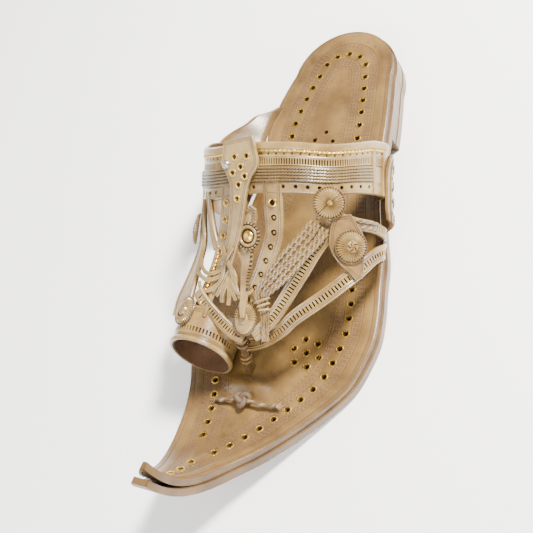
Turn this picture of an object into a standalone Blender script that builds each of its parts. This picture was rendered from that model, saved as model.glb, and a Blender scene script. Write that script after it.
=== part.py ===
"""Kolhapuri toe-ring sandal, the left shoe, in metres with +Z up.

The toe points along -Y and the big toe's side is -X. The origin lies on the ground under the heel.
Every size below is in millimetres. A place on the shoe is given by its distance from the back of the
heel ("heel") and either by its distance across the sole, or by the turn over the foot in degrees:
0 is the outer side of the sole, 90 the top of the foot and 180 the big toe's side.
"""

import bmesh
import bpy
import numpy as np
from mathutils import Vector, geometry

MM = 0.001
GAP = 0.3

# Sole
LENGTH = 329.0
HALF_WIDTH = 60.0
# Places along the shoe are drawn on a sole of DRAWN_LENGTH, and follow LENGTH through ALONG
DRAWN_LENGTH = 329.0
ALONG = LENGTH / DRAWN_LENGTH
HEEL_BACK = 38.0 * ALONG
HEEL_RISE = 13.0
DROP_START, DROP_RUN = 70.0 * ALONG, 100.0 * ALONG
TOE_START, TOE_TURN, TOE_POWER = 186.0 * ALONG, 104.5, 2.7
HEEL_ROUND = 33.0 * ALONG
INSOLE_THICK = 3.7
OUTSOLE_THICK = 5.2
OUTSOLE_STEP = 1.4
EDGE_CHAMFER = 0.6
TIP_PART_START, TIP_PART = 292.0 * ALONG, 3.4
TIP_THIN_START, TIP_THIN_RUN, TIP_THIN = 240.0 * ALONG, 80.0 * ALONG, 0.3
LIFT_LENGTH = 71.0 * ALONG
LAYER_GAP = 0.5
SEAT = INSOLE_THICK + LAYER_GAP + OUTSOLE_THICK


def stretched(rows, *columns):
    """A table's rows with these columns, places along the drawn sole, made to follow LENGTH."""
    return tuple(
        tuple(value * ALONG if i in columns else value for i, value in enumerate(row))
        for row in rows
    )


# Shares: "along" of LENGTH, "outer" and "inner" of HALF_WIDTH
SOLE_COLUMNS = ("along", "outer", "inner")
SOLE = (
    (0.000, 0.33, -0.42),
    (0.045, 0.43, -0.51),
    (0.100, 0.48, -0.59),
    (0.137, 0.52, -0.64),
    (0.182, 0.565, -0.68),
    (0.228, 0.60, -0.69),
    (0.274, 0.625, -0.65),
    (0.319, 0.67, -0.63),
    (0.365, 0.72, -0.66),
    (0.410, 0.785, -0.72),
    (0.456, 0.86, -0.80),
    (0.502, 0.90, -0.875),
    (0.547, 0.95, -0.93),
    (0.593, 0.975, -0.943),
    (0.638, 0.94, -0.90),
    (0.684, 0.86, -0.80),
    (0.726, 0.70, -0.71),
    (0.772, 0.50, -0.645),
    (0.818, 0.295, -0.595),
    (0.863, 0.10, -0.54),
    (0.909, -0.03, -0.48),
    (0.954, -0.125, -0.415),
    (0.980, -0.18, -0.365),
    (1.000, -0.25, -0.30),
)

# The foot's room, which the straps lie on. "outer" and "inner" are shares of HALF_WIDTH, "high" of ROOM
ROOM = 80.0
FLARE = 20.0
EDGE_INSET = 3.6
LAST_COLUMNS = ("heel", "outer", "inner", "high", "round")
LAST = stretched((
    (80, 0.75, 0.95, 1.00, 2.35),
    (105, 0.80, 0.97, 0.94, 2.35),
    (125, 0.87, 0.95, 0.865, 2.35),
    (145, 0.95, 0.91, 0.77, 2.35),
    (165, 0.99, 0.93, 0.64, 2.3),
    (185, 1.02, 0.95, 0.51, 2.4),
    (205, 1.00, 0.93, 0.41, 2.5),
    (225, 0.93, 0.83, 0.35, 2.6),
    (245, 0.77, 0.70, 0.30, 2.6),
), 0)

WALL = 2.4

# Instep band: rear and front edge from the heel at each turn
BAND_COLUMNS = ("turn", "rear", "front")
BAND = stretched((
    (2, 86, 118),
    (20, 97, 126),
    (36, 108, 133),
    (53, 116, 140),
    (72, 120, 143.5),
    (90, 122, 146),
    (108, 123, 148),
    (124, 121, 147),
    (145, 113, 141),
    (160, 102, 132),
    (178, 88, 120),
), 1, 2)
# Across the band from its rear edge: the polished rim, the pierced rows, four raised cords and the front edge
BAND_SKIN_COLUMNS = ("across", "lift")
BAND_SKIN = (
    (0.0, 2.6),
    (0.03, 3.3),
    (0.16, 3.3),
    (0.19, 2.3),
    (0.46, 2.3),
    (0.49, 3.1),
    (0.53, 2.4),
    (0.57, 3.1),
    (0.61, 2.4),
    (0.65, 3.1),
    (0.69, 2.4),
    (0.73, 3.1),
    (0.76, 2.3),
    (0.98, 2.3),
    (1.0, 1.9),
)

# Straps joined to the band. Each row: heel, turn, lift, width
STRAP_COLUMNS = ("heel", "turn", "lift", "width")
STRAPS = {
    "outer_upright": (
        (138, 84, 0, 10.5), (150, 83, 0, 10.5), (163, 82, 0, 10), (175, 85, 0, 9.5),
        (186, 88, 0, 9), (198, 91, 0, 8), (208, 92, 0, 8),
    ),
    "inner_upright": (
        (138, 107, 0, 9.5), (150, 107, 0, 9.5), (160, 108, 0, 9), (172, 109, 0, 9),
        (186, 112, 0.5, 9), (198, 114, 3, 10), (208, 115, 5, 11),
    ),
    "outer_side": (
        (150, 60, 0, 6.5), (149, 48, 0, 6.5), (147.5, 36, 0, 6.5), (144, 23, 0, 6.5),
        (141.5, 10, 0, 6.5), (140, 3, 0, 6.5),
    ),
    "fold_strap": (
        (146, 3, 0, 9), (151, 12, 0, 8.5), (158, 22, 0, 8), (169, 33, 0, 8), (178, 43, 0, 8),
        (186, 52, 0, 8), (200, 68, 0, 8), (208, 75, -2, 7.5), (214, 83, -6, 7), (218.5, 92.5, -12, 6.5),
    ),
    "long_strap": (
        (137, 53, 0, 9), (147, 53, 0, 9), (157, 55, 0, 9), (171, 63, 0, 8.5), (187, 72, 0, 8),
        (203, 80, 0, 8), (214, 87, 0, 7),
    ),
    "ring_strap": (
        (194, 118, 5.5, 7), (200, 112, 4.5, 7), (207, 104, 2, 7), (213, 96, 0, 7), (216, 90, 0, 6),
    ),
    "inner_side": (
        (132, 146, 0, 9), (145, 142, 0, 8), (158, 136, 0, 7.5), (168, 132, 0, 8),
        (178, 133, 0.6, 9.5), (188, 134, 2, 13), (198, 134, 4, 17), (206, 133, 5, 19),
    ),
    "inner_cross": ((143, 128, 0, 5), (153, 124, 0, 5), (163, 119, 0, 5), (172, 113, 0, 5)),
}
STRAPS = {name: stretched(rows, 0) for name, rows in STRAPS.items()}

# Big toe's ring, a cuff that lies along the toe
RING_X, RING_Z = -30.5, 28.5
RING_HALF_WIDE, RING_HALF_HIGH = 15.8, 16.6
RING_REAR, RING_FRONT = 203.0 * ALONG, 223.0 * ALONG
RING_LEAN = 6.0
RING_WALL = 2.2

# Toe post between the big toe and the second
POST_TOP, POST_FOOT = stretched(((-3.0, 213.0, 41.3), (-7.5, 224.0, 11.6)), 1)
POST_WIDE, POST_THICK = 6.4, 5.0

# Tongue over the band and its neck. Each row: heel, turn, lift, width
TONGUE = stretched((
    (121, 98, 5.0, 19), (127, 97, 5.0, 21.5), (133, 96.5, 5.0, 23.5), (138, 96.5, 4.9, 16),
    (143, 96.5, 4.8, 11.5), (150, 97, 4.8, 10), (160, 98, 4.8, 9), (170, 99.5, 4.8, 8), (179, 101, 4.7, 7),
), 0)
TONGUE_THICK = 1.8
# Its holes: share of its length and of its width
TONGUE_HOLES = (
    (0.14, 0.22), (0.14, -0.12), (0.22, 0.05), (0.27, -0.22), (0.29, 0.25), (0.36, 0.02), (0.47, 0.0),
)
TASSEL_THICK = 1.5
TASSEL_TIPS = stretched(((196, 106, 3.1), (199, 102, 3.2), (200, 98, 3.2), (197, 94.5, 3.2)), 0)
TASSEL_ROOT = stretched(((180.0, 100.6, 2.5), (187.0, 100.0, 3.0)), 0)
TASSEL_LOOP = stretched((
    (181, 101.9, 2.8), (186, 106, 3.4), (188, 113, 4.3), (185.5, 120, 4.6), (182, 124, 3.6),
), 0)

# Scalloped ornament beside the tongue's neck
TULIP = stretched((
    (152, 90.5, 2.4, 4), (155.5, 92, 2.4, 10), (160, 94, 2.4, 14.5), (166, 94.5, 2.4, 15),
    (172, 93.5, 2.4, 11), (177, 92, 2.4, 6.5), (184, 92, 2.8, 5), (192, 91, 4.2, 4.4),
    (200, 90.3, 5.8, 3.6), (206, 89.8, 7.0, 2.4),
), 0)
TULIP_THICK = 1.8

LEAF = stretched((
    (147, 46, 2.85, 9), (152, 45, 2.85, 15), (158, 43, 2.85, 19), (164, 40, 2.85, 16),
    (170, 36, 2.85, 9), (174, 34, 2.85, 4),
), 0)
LEAF_THICK = 1.5

CORDS = stretched((
    (154.5, 58.5, 3.0, 11.5), (159, 61, 3.0, 12.5), (166, 66, 3.0, 12.5), (176, 74, 3.0, 12),
    (184, 80, 3.0, 11), (192, 85, 3.0, 9), (199, 83.5, 3.0, 5), (208, 82, 3.0, 4.6),
    (216, 80.5, 3.0, 4.2),
), 0)
CORD_COUNT = 4
CORD_THICK = 3.4

# Rosettes: name, heel, turn, lift, radius along, radius across
ROSETTES = stretched((
    ("rosette_band", 144.0, 54.0, 5.0, 8.4, 8.4),
    ("rosette_leaf", 160.0, 41.0, 5.2, 8.6, 8.6),
    ("rosette_inner", 157.0, 146.0, 3.0, 9.0, 7.0),
    ("rosette_post", 206.0, 90.0, 3.1, 9.0, 6.8),
), 1)
# The one on the toe's ring: heel, turn round the ring, lift, radius along and across
RING_ROSETTE_HEEL, RING_ROSETTE_TURN, RING_ROSETTE_LIFT = 207.0 * ALONG, 112.0, 0.4
RING_ROSETTE_LONG, RING_ROSETTE_WIDE = 8.2, 7.6
# Coil from its rim to its middle: share of the radius and height
COIL_COLUMNS = ("share", "high")
COIL = ((1.0, 0.0), (1.0, 1.4), (0.88, 2.0), (0.62, 2.0), (0.5, 2.9), (0.0, 3.3))
SCALLOPS = 10

# Side flaps: strips of leather rising from the sole under each end of the band. The inner one
# starts at the waist
FLAP_COLUMNS = ("heel", "high", "lift")
FLAP_TOPS = {
    "outer": stretched((
        (94, 12, 3.9), (99, 18, 3.9), (106, 21, 3.9), (114, 22, 3.9), (122, 22, 3.9), (130, 22, 3.9),
        (135.5, 21, 3.9),
    ), 0),
    "inner": stretched((
        (58, 1.4, 0.4), (63, 4, 1), (69, 7.5, 1.8), (76, 9.5, 2.4), (84, 12.5, 3.8), (94, 16.5, 4.6),
        (104, 20.5, 4.6), (115, 22, 4.6), (125, 22, 4.6), (135.5, 21, 4.6),
    ), 0),
}
FLAP_THICK = 1.5
TAB_FIRST, TAB_PITCH, TAB_COUNT = 102.2 * ALONG, 9.5 * ALONG, 4
TAB_WIDE, TAB_HIGH, TAB_THICK = 8.2 * ALONG, 13.0, 1.4
TOE_TAB_REAR, TOE_TAB_LONG, TOE_TAB_HIGH = 137.5 * ALONG, 10.0 * ALONG, 5.2
TOE_TAB_LIFT, TOE_TAB_THICK = 3.0, 1.8

KNOT_HEEL, KNOT_X, KNOT_LIFT, KNOT_RADIUS = 243.0 * ALONG, -4.0, 1.65, 5.6
KNOT_ENDS = (
    ((0, 0, 4.2), (8, 1, 3.8), (15, 1, 2.6), (21, 0, 3.4)),
    ((0, 0, 4.2), (-9, 2, 3.2), (-17, 3, 2.0)),
)
HUMP_HEEL, HUMP_X, HUMP_LONG, HUMP_WIDE, HUMP_HIGH = 234.0 * ALONG, -6.0, 8.0, 17.0, 3.0

EYELET_RADIUS, EYELET_PITCH, EYELET_INSET = 1.6, 8.6, 17.0
FLOWER_HEEL, FLOWER_X, FLOWER_RADIUS = 209.0 * ALONG, 22.0, 8.2
# Runs of eyelets: edge column, first and last place; then the single ones near the tip
EYELET_RUNS = stretched(((1, 34.0, 96.0), (2, 34.0, 96.0), (1, 160.0, 281.0), (2, 226.0, 276.0)), 1, 2)
TIP_EYELETS = stretched(((288.0,), (296.0,), (304.0,)), 0)
# Four vents under the instep: heel and across
VENT_RADIUS = 1.4
VENTS = stretched(((80.0, -8.0), (85.0, -2.0), (80.0, 4.0), (74.0, -2.0)), 0)


def smooth(rows, value, column):
    """The value of a table's column, smooth between its rows. The first column is the key."""
    table = np.array(rows, float)
    key, data = table[:, 0], table[:, column]
    steps = np.diff(data) / np.diff(key)
    slope = np.empty(len(key))
    slope[0], slope[-1] = steps[0], steps[-1]
    slope[1:-1] = (steps[:-1] + steps[1:]) / 2
    i = int(np.clip(np.searchsorted(key, value) - 1, 0, len(key) - 2))
    span = key[i + 1] - key[i]
    t = min(max((value - key[i]) / span, 0.0), 1.0)
    a = (1 + 2 * t) * (1 - t) ** 2
    b = t * (1 - t) ** 2
    return a * data[i] + b * span * slope[i] + (1 - a) * data[i + 1] - t * t * (1 - t) * span * slope[i + 1]


def along(rows, steps):
    """A path's rows made smooth: `steps` + 1 rows spread evenly over its rows."""
    numbered = [(i, *row) for i, row in enumerate(rows)]
    places = np.linspace(0, len(rows) - 1, steps + 1)
    return [[smooth(numbered, p, c + 1) for c in range(len(rows[0]))] for p in places]


# The sole's profile, worked out once along its length
TRACK = np.arange(-6.0, LENGTH + 8.0, 0.5)
FALL = np.clip((TRACK - DROP_START) / DROP_RUN, 0, 1)
FALL_ANGLE = -np.arctan(HEEL_RISE * 6 * FALL * (1 - FALL) / DROP_RUN)
TOE_ANGLE = np.radians(TOE_TURN) * np.clip((TRACK - TOE_START) / (LENGTH - TOE_START), 0, 1.03) ** TOE_POWER
ANGLE = FALL_ANGLE + TOE_ANGLE
MIDDLE = (ANGLE[1:] + ANGLE[:-1]) / 2
TRACK_Y = HEEL_BACK + 6.0 - np.concatenate([[0], np.cumsum(np.cos(MIDDLE) * 0.5)])
TRACK_Z = np.concatenate([[0], np.cumsum(np.sin(MIDDLE) * 0.5)])
TRACK_Z = TRACK_Z - np.interp(TOE_START, TRACK, TRACK_Z) + SEAT


def seat(heel, x, lift=0.0):
    """The point over the insole's top this far from the heel and across, raised square to it."""
    angle = np.interp(heel, TRACK, ANGLE)
    y = np.interp(heel, TRACK, TRACK_Y) + lift * np.sin(angle)
    z = np.interp(heel, TRACK, TRACK_Z) + lift * np.cos(angle)
    return np.array([x, y, z])


def edge(heel, column):
    """Half width of the insole on one side: column 1 is the outer side and 2 the inner."""
    width = smooth(SOLE, min(max(heel, HEEL_ROUND), LENGTH) / LENGTH, column) * HALF_WIDTH
    if heel < HEEL_ROUND:
        width *= np.sqrt(max(1 - ((HEEL_ROUND - heel) / HEEL_ROUND) ** 2, 0.0))
    return width


def last(turn, heel, lift=0.0):
    """The point of the foot's room at this turn over the foot, raised off it."""
    point = raw_last(turn, heel)
    if lift:
        point = point + lift * last_normal(turn, heel)
    return point


def raw_last(turn, heel):
    side = 1 if turn <= 90 else 2
    half = smooth(LAST, heel, side) * HALF_WIDTH
    high = smooth(LAST, heel, 3) * ROOM
    power = 2 / smooth(LAST, heel, 4)
    angle = np.radians(turn)
    across = abs(np.cos(angle)) ** power * half
    rise = max(np.sin(angle), 0.0) ** power * high
    foot = abs(edge(heel, side)) - EDGE_INSET
    share = min(rise / FLARE, 1.0)
    share = share * share * (3 - 2 * share)
    across = foot + (across - foot) * share if rise < FLARE else across
    base = seat(heel, 0.0)
    return np.array([across if side == 1 else -across, base[1], base[2] + rise])


def last_normal(turn, heel):
    turned = raw_last(min(turn + 1, 179.5), heel) - raw_last(max(turn - 1, 0.5), heel)
    forward = raw_last(turn, heel + 1) - raw_last(turn, heel - 1)
    normal = np.cross(turned, forward)
    return normal / np.linalg.norm(normal)


def unit(vector):
    return vector / np.linalg.norm(vector)


def collection(name, hidden):
    made = bpy.data.collections.new(name)
    made.hide_render = hidden
    bpy.context.scene.collection.children.link(made)
    return made


def finish_colour(name, colour, rough, metal):
    made = bpy.data.materials.new(name)
    made.use_nodes = True
    shader = made.node_tree.nodes["Principled BSDF"]
    shader.inputs["Base Color"].default_value = (*colour, 1.0)
    shader.inputs["Roughness"].default_value = rough
    shader.inputs["Metallic"].default_value = metal
    return made


COLOURS = {
    "leather": ((0.62, 0.43, 0.24), 0.55, 0.0),
    "pale": ((0.78, 0.62, 0.42), 0.5, 0.0),
    "sole": ((0.42, 0.27, 0.14), 0.7, 0.0),
    "cord": ((0.66, 0.58, 0.48), 0.8, 0.0),
    "brass": ((0.83, 0.62, 0.22), 0.3, 1.0),
    "metal": ((0.55, 0.54, 0.5), 0.35, 1.0),
}


def solid(name, points, faces, colour=None):
    """A mesh object from points in millimetres. Without a colour it is a helper, which isn't a part."""
    mesh = bpy.data.meshes.new(name)
    mesh.from_pydata([tuple(np.asarray(p) * MM) for p in points], [], faces)
    bm = bmesh.new()
    bm.from_mesh(mesh)
    bmesh.ops.triangulate(bm, faces=bm.faces[:])
    bm.to_mesh(mesh)
    bm.free()
    mesh.update()
    made = bpy.data.objects.new(name, mesh)
    if colour:
        PARTS.objects.link(made)
        mesh.materials.append(finish_colour(name, *COLOURS[colour]))
    else:
        HELPERS.objects.link(made)
        made.hide_render = True
        made.display_type = "WIRE"
    return made


def loft(sections):
    """Points and faces of a closed body through equal loops of points, with a cap at each end."""
    count = len(sections[0])
    points = [p for section in sections for p in section]
    faces = []
    for i in range(len(sections) - 1):
        for j in range(count):
            k = (j + 1) % count
            faces.append((i * count + j, i * count + k, (i + 1) * count + k, (i + 1) * count + j))
    faces.append(tuple(range(count))[::-1])
    faces.append(tuple((len(sections) - 1) * count + j for j in range(count)))
    return face_out(points, faces)


def face_out(points, faces):
    """Turns every face round if the body's faces point inwards."""
    total = 0.0
    for face in faces:
        for i in range(1, len(face) - 1):
            a, b, c = points[face[0]], points[face[i]], points[face[i + 1]]
            total += np.dot(a, np.cross(b, c))
    return points, faces if total > 0 else [face[::-1] for face in faces]


def merged(bodies):
    """One list of points and one of faces from several bodies."""
    points, faces = [], []
    for body_points, body_faces in bodies:
        faces += [tuple(i + len(points) for i in face) for face in body_faces]
        points += list(body_points)
    return points, faces


def boolean(target, tool, operation):
    made = target.modifiers.new(operation.lower() + "_" + tool.name, "BOOLEAN")
    made.operation = operation
    made.solver = "EXACT"
    made.object = tool


def ribbon(rows, thick, steps, skin=None):
    """A strap along rows of heel, turn, lift, width. `skin`: its upper side, shares across and of thick."""
    skin = skin or ((-0.5, 1.0), (0.5, 1.0))
    rows = along(rows, steps)
    centre = [last(turn, heel, lift) for heel, turn, lift, _ in rows]
    sections = []
    for i, (heel, turn, _, width) in enumerate(rows):
        ahead = unit(centre[min(i + 1, len(rows) - 1)] - centre[max(i - 1, 0)])
        normal = last_normal(turn, heel)
        normal = unit(normal - ahead * np.dot(normal, ahead))
        side = np.cross(normal, ahead)
        loop = [centre[i] + side * width * a + normal * thick * h for a, h in skin]
        loop += [centre[i] + side * width * skin[-1][0], centre[i] + side * width * skin[0][0]]
        sections.append(loop)
    return loft(sections)


def strap_spot(rows, share, across, lift):
    """A point on a strap, with its normal and the way ahead. `across` is a share of the strap's width."""
    heel, turn, height, width = along(rows, 100)[int(round(share * 100))]
    before, after = (along(rows, 100)[int(round(share * 100)) + k] for k in (-1, 1))
    ahead = unit(last(after[1], after[0], after[2]) - last(before[1], before[0], before[2]))
    normal = last_normal(turn, heel)
    normal = unit(normal - ahead * np.dot(normal, ahead))
    side = np.cross(normal, ahead)
    return last(turn, heel, height) + side * width * across + normal * lift, normal, ahead


def sole_rows(rear, front, step):
    """A sole layer's rows, as distances from the heel: close at the round heel and the turned toe."""
    round_part = [HEEL_ROUND - (HEEL_ROUND - rear) * np.cos(np.radians(a)) for a in np.linspace(5, 90, 12)]
    flat = [d for d in np.arange(HEEL_ROUND + 11, TOE_START, 11.0) if d < front - 4]
    toe = [*np.arange(TOE_START + 6, 250.0, 8.0), *np.arange(252.0, LENGTH, step)]
    return [*round_part, *flat, *[d for d in toe if d < front - 3], front]


def layer(name, rear, front, top, bottom, step_out, colour):
    """A layer of the sole: its outline is the insole's, wider by step_out."""
    sections = []
    for heel in sole_rows(rear, front, 4.8):
        step = step_out * min((LENGTH + 3 - heel) / 30, 1.0)
        base = bottom + (top - bottom) * TIP_THIN * min(max(heel - TIP_THIN_START, 0) / TIP_THIN_RUN, 1.0)
        if heel < HEEL_ROUND:
            share = np.sqrt(1 - ((HEEL_ROUND - heel) / (HEEL_ROUND - rear)) ** 2)
            outer = share * (edge(HEEL_ROUND, 1) + step_out)
            inner = share * (edge(HEEL_ROUND, 2) - step_out)
        else:
            outer, inner = edge(heel, 1) + step, edge(heel, 2) - step
        cut = min(EDGE_CHAMFER, (outer - inner) / 4)
        sections.append([
            seat(heel, outer - cut, top),
            seat(heel, inner + cut, top),
            seat(heel, inner, top - cut),
            seat(heel, inner, base),
            seat(heel, outer, base),
            seat(heel, outer, top - cut),
        ])
    return solid(name, *loft(sections), colour)


def hump(heel, x):
    """How far the toe strap under the insole lifts it here."""
    away = ((heel - HUMP_HEEL) / HUMP_LONG) ** 2 + ((x - HUMP_X) / HUMP_WIDE) ** 2
    return HUMP_HIGH * max(1 - away, 0.0) ** 1.5


def pierced_layer(holes):
    """The insole as points and faces, with a hole of `sides` sides at each (heel, across, radius)."""
    sides = 6
    rows = sole_rows(0.0, LENGTH, 4.8)
    outline = [(heel, edge(heel, 1)) for heel in rows] + [(heel, edge(heel, 2)) for heel in rows[::-1]]
    loops = [outline]
    for heel, x, radius in holes:
        turns = [2 * np.pi * k / sides for k in range(sides)]
        loops.append([(heel + radius * np.cos(a), x + radius * np.sin(a)) for a in turns])
    spare = [(heel, x) for heel in np.arange(HUMP_HEEL - 8, HUMP_HEEL + 9, 3.2)
             for x in np.arange(HUMP_X - 17, HUMP_X + 18, 5.6)]
    spare = [p for p in spare if clear_of(p, holes)]
    flat = [p for loop in loops for p in loop] + spare
    edges, start = [], 0
    for loop in loops:
        edges += [(start + i, start + (i + 1) % len(loop)) for i in range(len(loop))]
        start += len(loop)
    # The seat bends only along the shoe, so an edge across at each of these rows keeps the layer on it
    last_row = 2 * len(rows) - 1
    edges += [(i, last_row - i) for i, heel in enumerate(rows[:-1]) if 70 < heel < 175 or heel > 200]
    found = geometry.delaunay_2d_cdt([Vector(p) for p in flat], edges, [], 0, 1e-5)
    places = [tuple(p) for p in found[0]]
    sides_at = [[edge(heel, column) for heel in rows] for column in (1, 2)]
    faces = [f for f in found[2] if within(np.mean([places[i] for i in f], axis=0), holes, rows, sides_at)]
    count = len(places)
    points = [seat(h, x, tip_gap(h) + hump(h, x)) for h, x in places]
    points += [seat(h, x, tip_gap(h) - INSOLE_THICK) for h, x in places]
    solid_faces = [tuple(f) for f in faces] + [tuple(i + count for i in f[::-1]) for f in faces]
    used = {}
    for f in faces:
        for i in range(len(f)):
            used[(f[i], f[(i + 1) % len(f)])] = True
    for a, b in list(used):
        if (b, a) not in used:
            solid_faces.append((b, a, a + count, b + count))
    return face_out(points, solid_faces)


def tip_gap(heel):
    """How far the insole's tip has come away from the outsole."""
    return TIP_PART * (max(heel - TIP_PART_START, 0) / (LENGTH - TIP_PART_START)) ** 2


def clear_of(place, holes):
    """Whether a spare point lies well inside the outline and away from every hole."""
    heel, x = place
    inside = edge(heel, 2) + 5 < x < edge(heel, 1) - 5
    return inside and all(np.hypot(heel - h, x - hx) > radius + 1.6 for h, hx, radius in holes)


def within(place, holes, rows, sides_at):
    """Whether a triangle's middle is in the leather, neither in a hole nor outside the outline's chords."""
    heel, x = place
    if any(np.hypot(heel - h, x - hx) < radius * 0.8 for h, hx, radius in holes):
        return False
    return np.interp(heel, rows, sides_at[1]) < x < np.interp(heel, rows, sides_at[0])


def peg(point, normal, ahead, half_long, half_wide, sides, reach=6.0, below=3.0):
    """A prism through the leather at a point: round with `sides` sides, or a slot when sides is 4."""
    ahead = unit(ahead - normal * np.dot(ahead, normal))
    side = np.cross(normal, ahead)
    start = 45.0 if sides == 4 else 0.0
    grow = np.sqrt(2) if sides == 4 else 1.0
    sections = []
    for height in (-below, reach):
        loop = []
        for k in range(sides):
            a = np.radians(start + 360.0 * k / sides)
            out = ahead * half_long * np.cos(a) + side * half_wide * np.sin(a)
            loop.append(point + normal * height + grow * out)
        sections.append(loop)
    return loft(sections)


def strap_pegs(rows, first, final, count, half_long, half_wide, sides, across=0.0):
    """Pegs spread along a strap's rows, from share `first` of its length to share `final`."""
    found = []
    fine = along(rows, 60)
    centre = np.array([last(turn, heel, lift) for heel, turn, lift, _ in fine])
    run = np.concatenate([[0], np.cumsum(np.linalg.norm(np.diff(centre, axis=0), axis=1))])
    for share in np.linspace(first, final, count):
        i = int(np.clip(np.searchsorted(run, share * run[-1]), 1, len(fine) - 2))
        heel, turn, _, width = fine[i]
        ahead = unit(centre[i + 1] - centre[i - 1])
        normal = last_normal(turn, heel)
        side = np.cross(normal, ahead)
        found.append(peg(centre[i] + side * width * across, normal, ahead, half_long, half_wide, sides))
    return found


def band_body():
    """The instep band, one wall with its rim, cords and edges raised."""
    sections = []
    turns = [
        2, 6, 11, 17, 23, 30, 37, 44, 52, 60, 68, 76, 84, 90,
        96, 104, 112, 120, 128, 136, 143, 150, 157, 163, 169, 174, 178,
    ]
    for turn in turns:
        rear, front = smooth(BAND, turn, 1), smooth(BAND, turn, 2)
        loop = [last(turn, rear + (front - rear) * share, lift) for share, lift in BAND_SKIN]
        loop += [last(turn, rear + (front - rear) * share) for share in (1.0, 0.66, 0.33, 0.0)]
        sections.append(loop)
    return loft(sections)


def band_pegs(share, first, final, count, half_long, half_wide, sides):
    found = []
    for turn in np.linspace(first, final, count):
        rear, front = smooth(BAND, turn, 1), smooth(BAND, turn, 2)
        heel = rear + (front - rear) * share
        ahead = last(turn + 1, heel) - last(turn - 1, heel)
        found.append(peg(last(turn, heel), last_normal(turn, heel), ahead, half_long, half_wide, sides))
    return found


def ring_body():
    """The big toe's cuff: a tube whose front leans back and whose rear opens towards the straps."""
    points, faces = [], []
    count = 24
    stations = (0.0, 0.5, 1.0)
    for wall in (RING_WALL, 0.0):
        for share in stations:
            for k in range(count):
                a = 2 * np.pi * k / count
                up = np.sin(a)
                heel = RING_REAR + (RING_FRONT - RING_REAR) * share + RING_LEAN * (1 - up) / 2 * share
                rim = 0.5 if wall and share == 1.0 else 0.0
                x = RING_X + (RING_HALF_WIDE + wall + rim) * np.cos(a)
                z = RING_Z + (RING_HALF_HIGH + wall + rim) * up
                floor = seat(heel, 0.0)[2] + GAP + 0.1 + (0.0 if wall else RING_WALL)
                points.append(np.array([x, HEEL_BACK - heel, max(z, floor)]))
    rings = len(stations)
    for layer_index in (0, 1):
        for i in range(rings - 1):
            for k in range(count):
                a = (layer_index * rings + i) * count + k
                b = (layer_index * rings + i) * count + (k + 1) % count
                faces.append((a, b, b + count, a + count) if layer_index else (b, a, a + count, b + count))
    for end in (0, rings - 1):
        for k in range(count):
            n = (k + 1) % count
            outer_a, outer_b = end * count + k, end * count + n
            inner_a, inner_b = (rings + end) * count + k, (rings + end) * count + n
            face = (outer_a, outer_b, inner_b, inner_a)
            faces.append(face if end == 0 else (outer_b, outer_a, inner_a, inner_b))
    return face_out(points, faces)


def ring_pegs(share, first, final, count, half_long, half_wide, sides):
    found = []
    for turn in np.linspace(first, final, count):
        a = np.radians(turn)
        heel = RING_REAR + (RING_FRONT - RING_REAR) * share
        normal = np.array([np.cos(a), 0.0, np.sin(a)])
        middle = np.array([RING_X, HEEL_BACK - heel, RING_Z])
        point = middle + normal * np.array([RING_HALF_WIDE, 0, RING_HALF_HIGH])
        ahead = np.array([-np.sin(a), 0.0, np.cos(a)])
        found.append(peg(point, normal, ahead, half_long, half_wide, sides))
    return found


def disc(point, normal, ahead, along_radius, across_radius, profile, sides, scallop=0.0):
    """A turned or coiled disc on the point: a profile of shares of the radius and heights."""
    ahead = unit(ahead - normal * np.dot(ahead, normal))
    side = np.cross(normal, ahead)
    points, faces = [], []
    for share, high in profile[:-1]:
        for k in range(sides):
            a = 2 * np.pi * k / sides
            reach = share * (1 - scallop * (k % 2) * (share > 0.85))
            offset = ahead * np.cos(a) * along_radius + side * np.sin(a) * across_radius
            points.append(point + offset * reach + normal * high)
    points.append(point + normal * profile[-1][1])
    for i in range(len(profile) - 2):
        for k in range(sides):
            n = (k + 1) % sides
            faces.append((i * sides + k, i * sides + n, (i + 1) * sides + n, (i + 1) * sides + k))
    ring = (len(profile) - 2) * sides
    faces += [(ring + k, ring + (k + 1) % sides, len(points) - 1) for k in range(sides)]
    faces.append(tuple(range(sides))[::-1])
    return face_out(points, faces)


def tube(path, radii, sides):
    """A round body along a path of points."""
    sections = []
    for i, point in enumerate(path):
        ahead = unit(path[min(i + 1, len(path) - 1)] - path[max(i - 1, 0)])
        side = unit(np.cross(ahead, np.array([0.0, 0.0, 1.0]) + ahead * 0.01))
        up = np.cross(side, ahead)
        turns = [2 * np.pi * k / sides for k in range(sides)]
        sections.append([point + radii[i] * (side * np.cos(a) + up * np.sin(a)) for a in turns])
    return loft(sections)


def flap(side):
    """A side flap: strips of leather under the band's end, stepped at the top, with raised arched tabs."""
    sections = []
    for heel, high, lift in FLAP_TOPS[side]:
        levels = ((0.0, 0.0), (0.36, 0.0), (0.7, 0.0), (0.72, 0.8), (0.85, 0.8), (0.87, 0.2), (1.0, 0.0))
        low = GAP + 0.1
        rise = high - low
        loop = [flank(side, heel, low + share * rise, lift + FLAP_THICK + more) for share, more in levels]
        loop += [flank(side, heel, low + share * rise, lift) for share in (1.0, 0.75, 0.5, 0.25, 0.0)]
        sections.append(loop)
    return loft(sections)


def flank(side, heel, high, lift):
    """A point beside the band's end, this high over the insole and this far outside the foot's room."""
    share = high / (smooth(LAST, heel, 3) * ROOM)
    turn = np.degrees(np.arcsin(share ** (smooth(LAST, heel, 4) / 2)))
    turn = turn if side == "outer" else 180.0 - turn
    point, across = raw_last(turn, heel), last_normal(turn, heel)[0]
    return point + np.array([lift / across, 0.0, 0.0])


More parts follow.
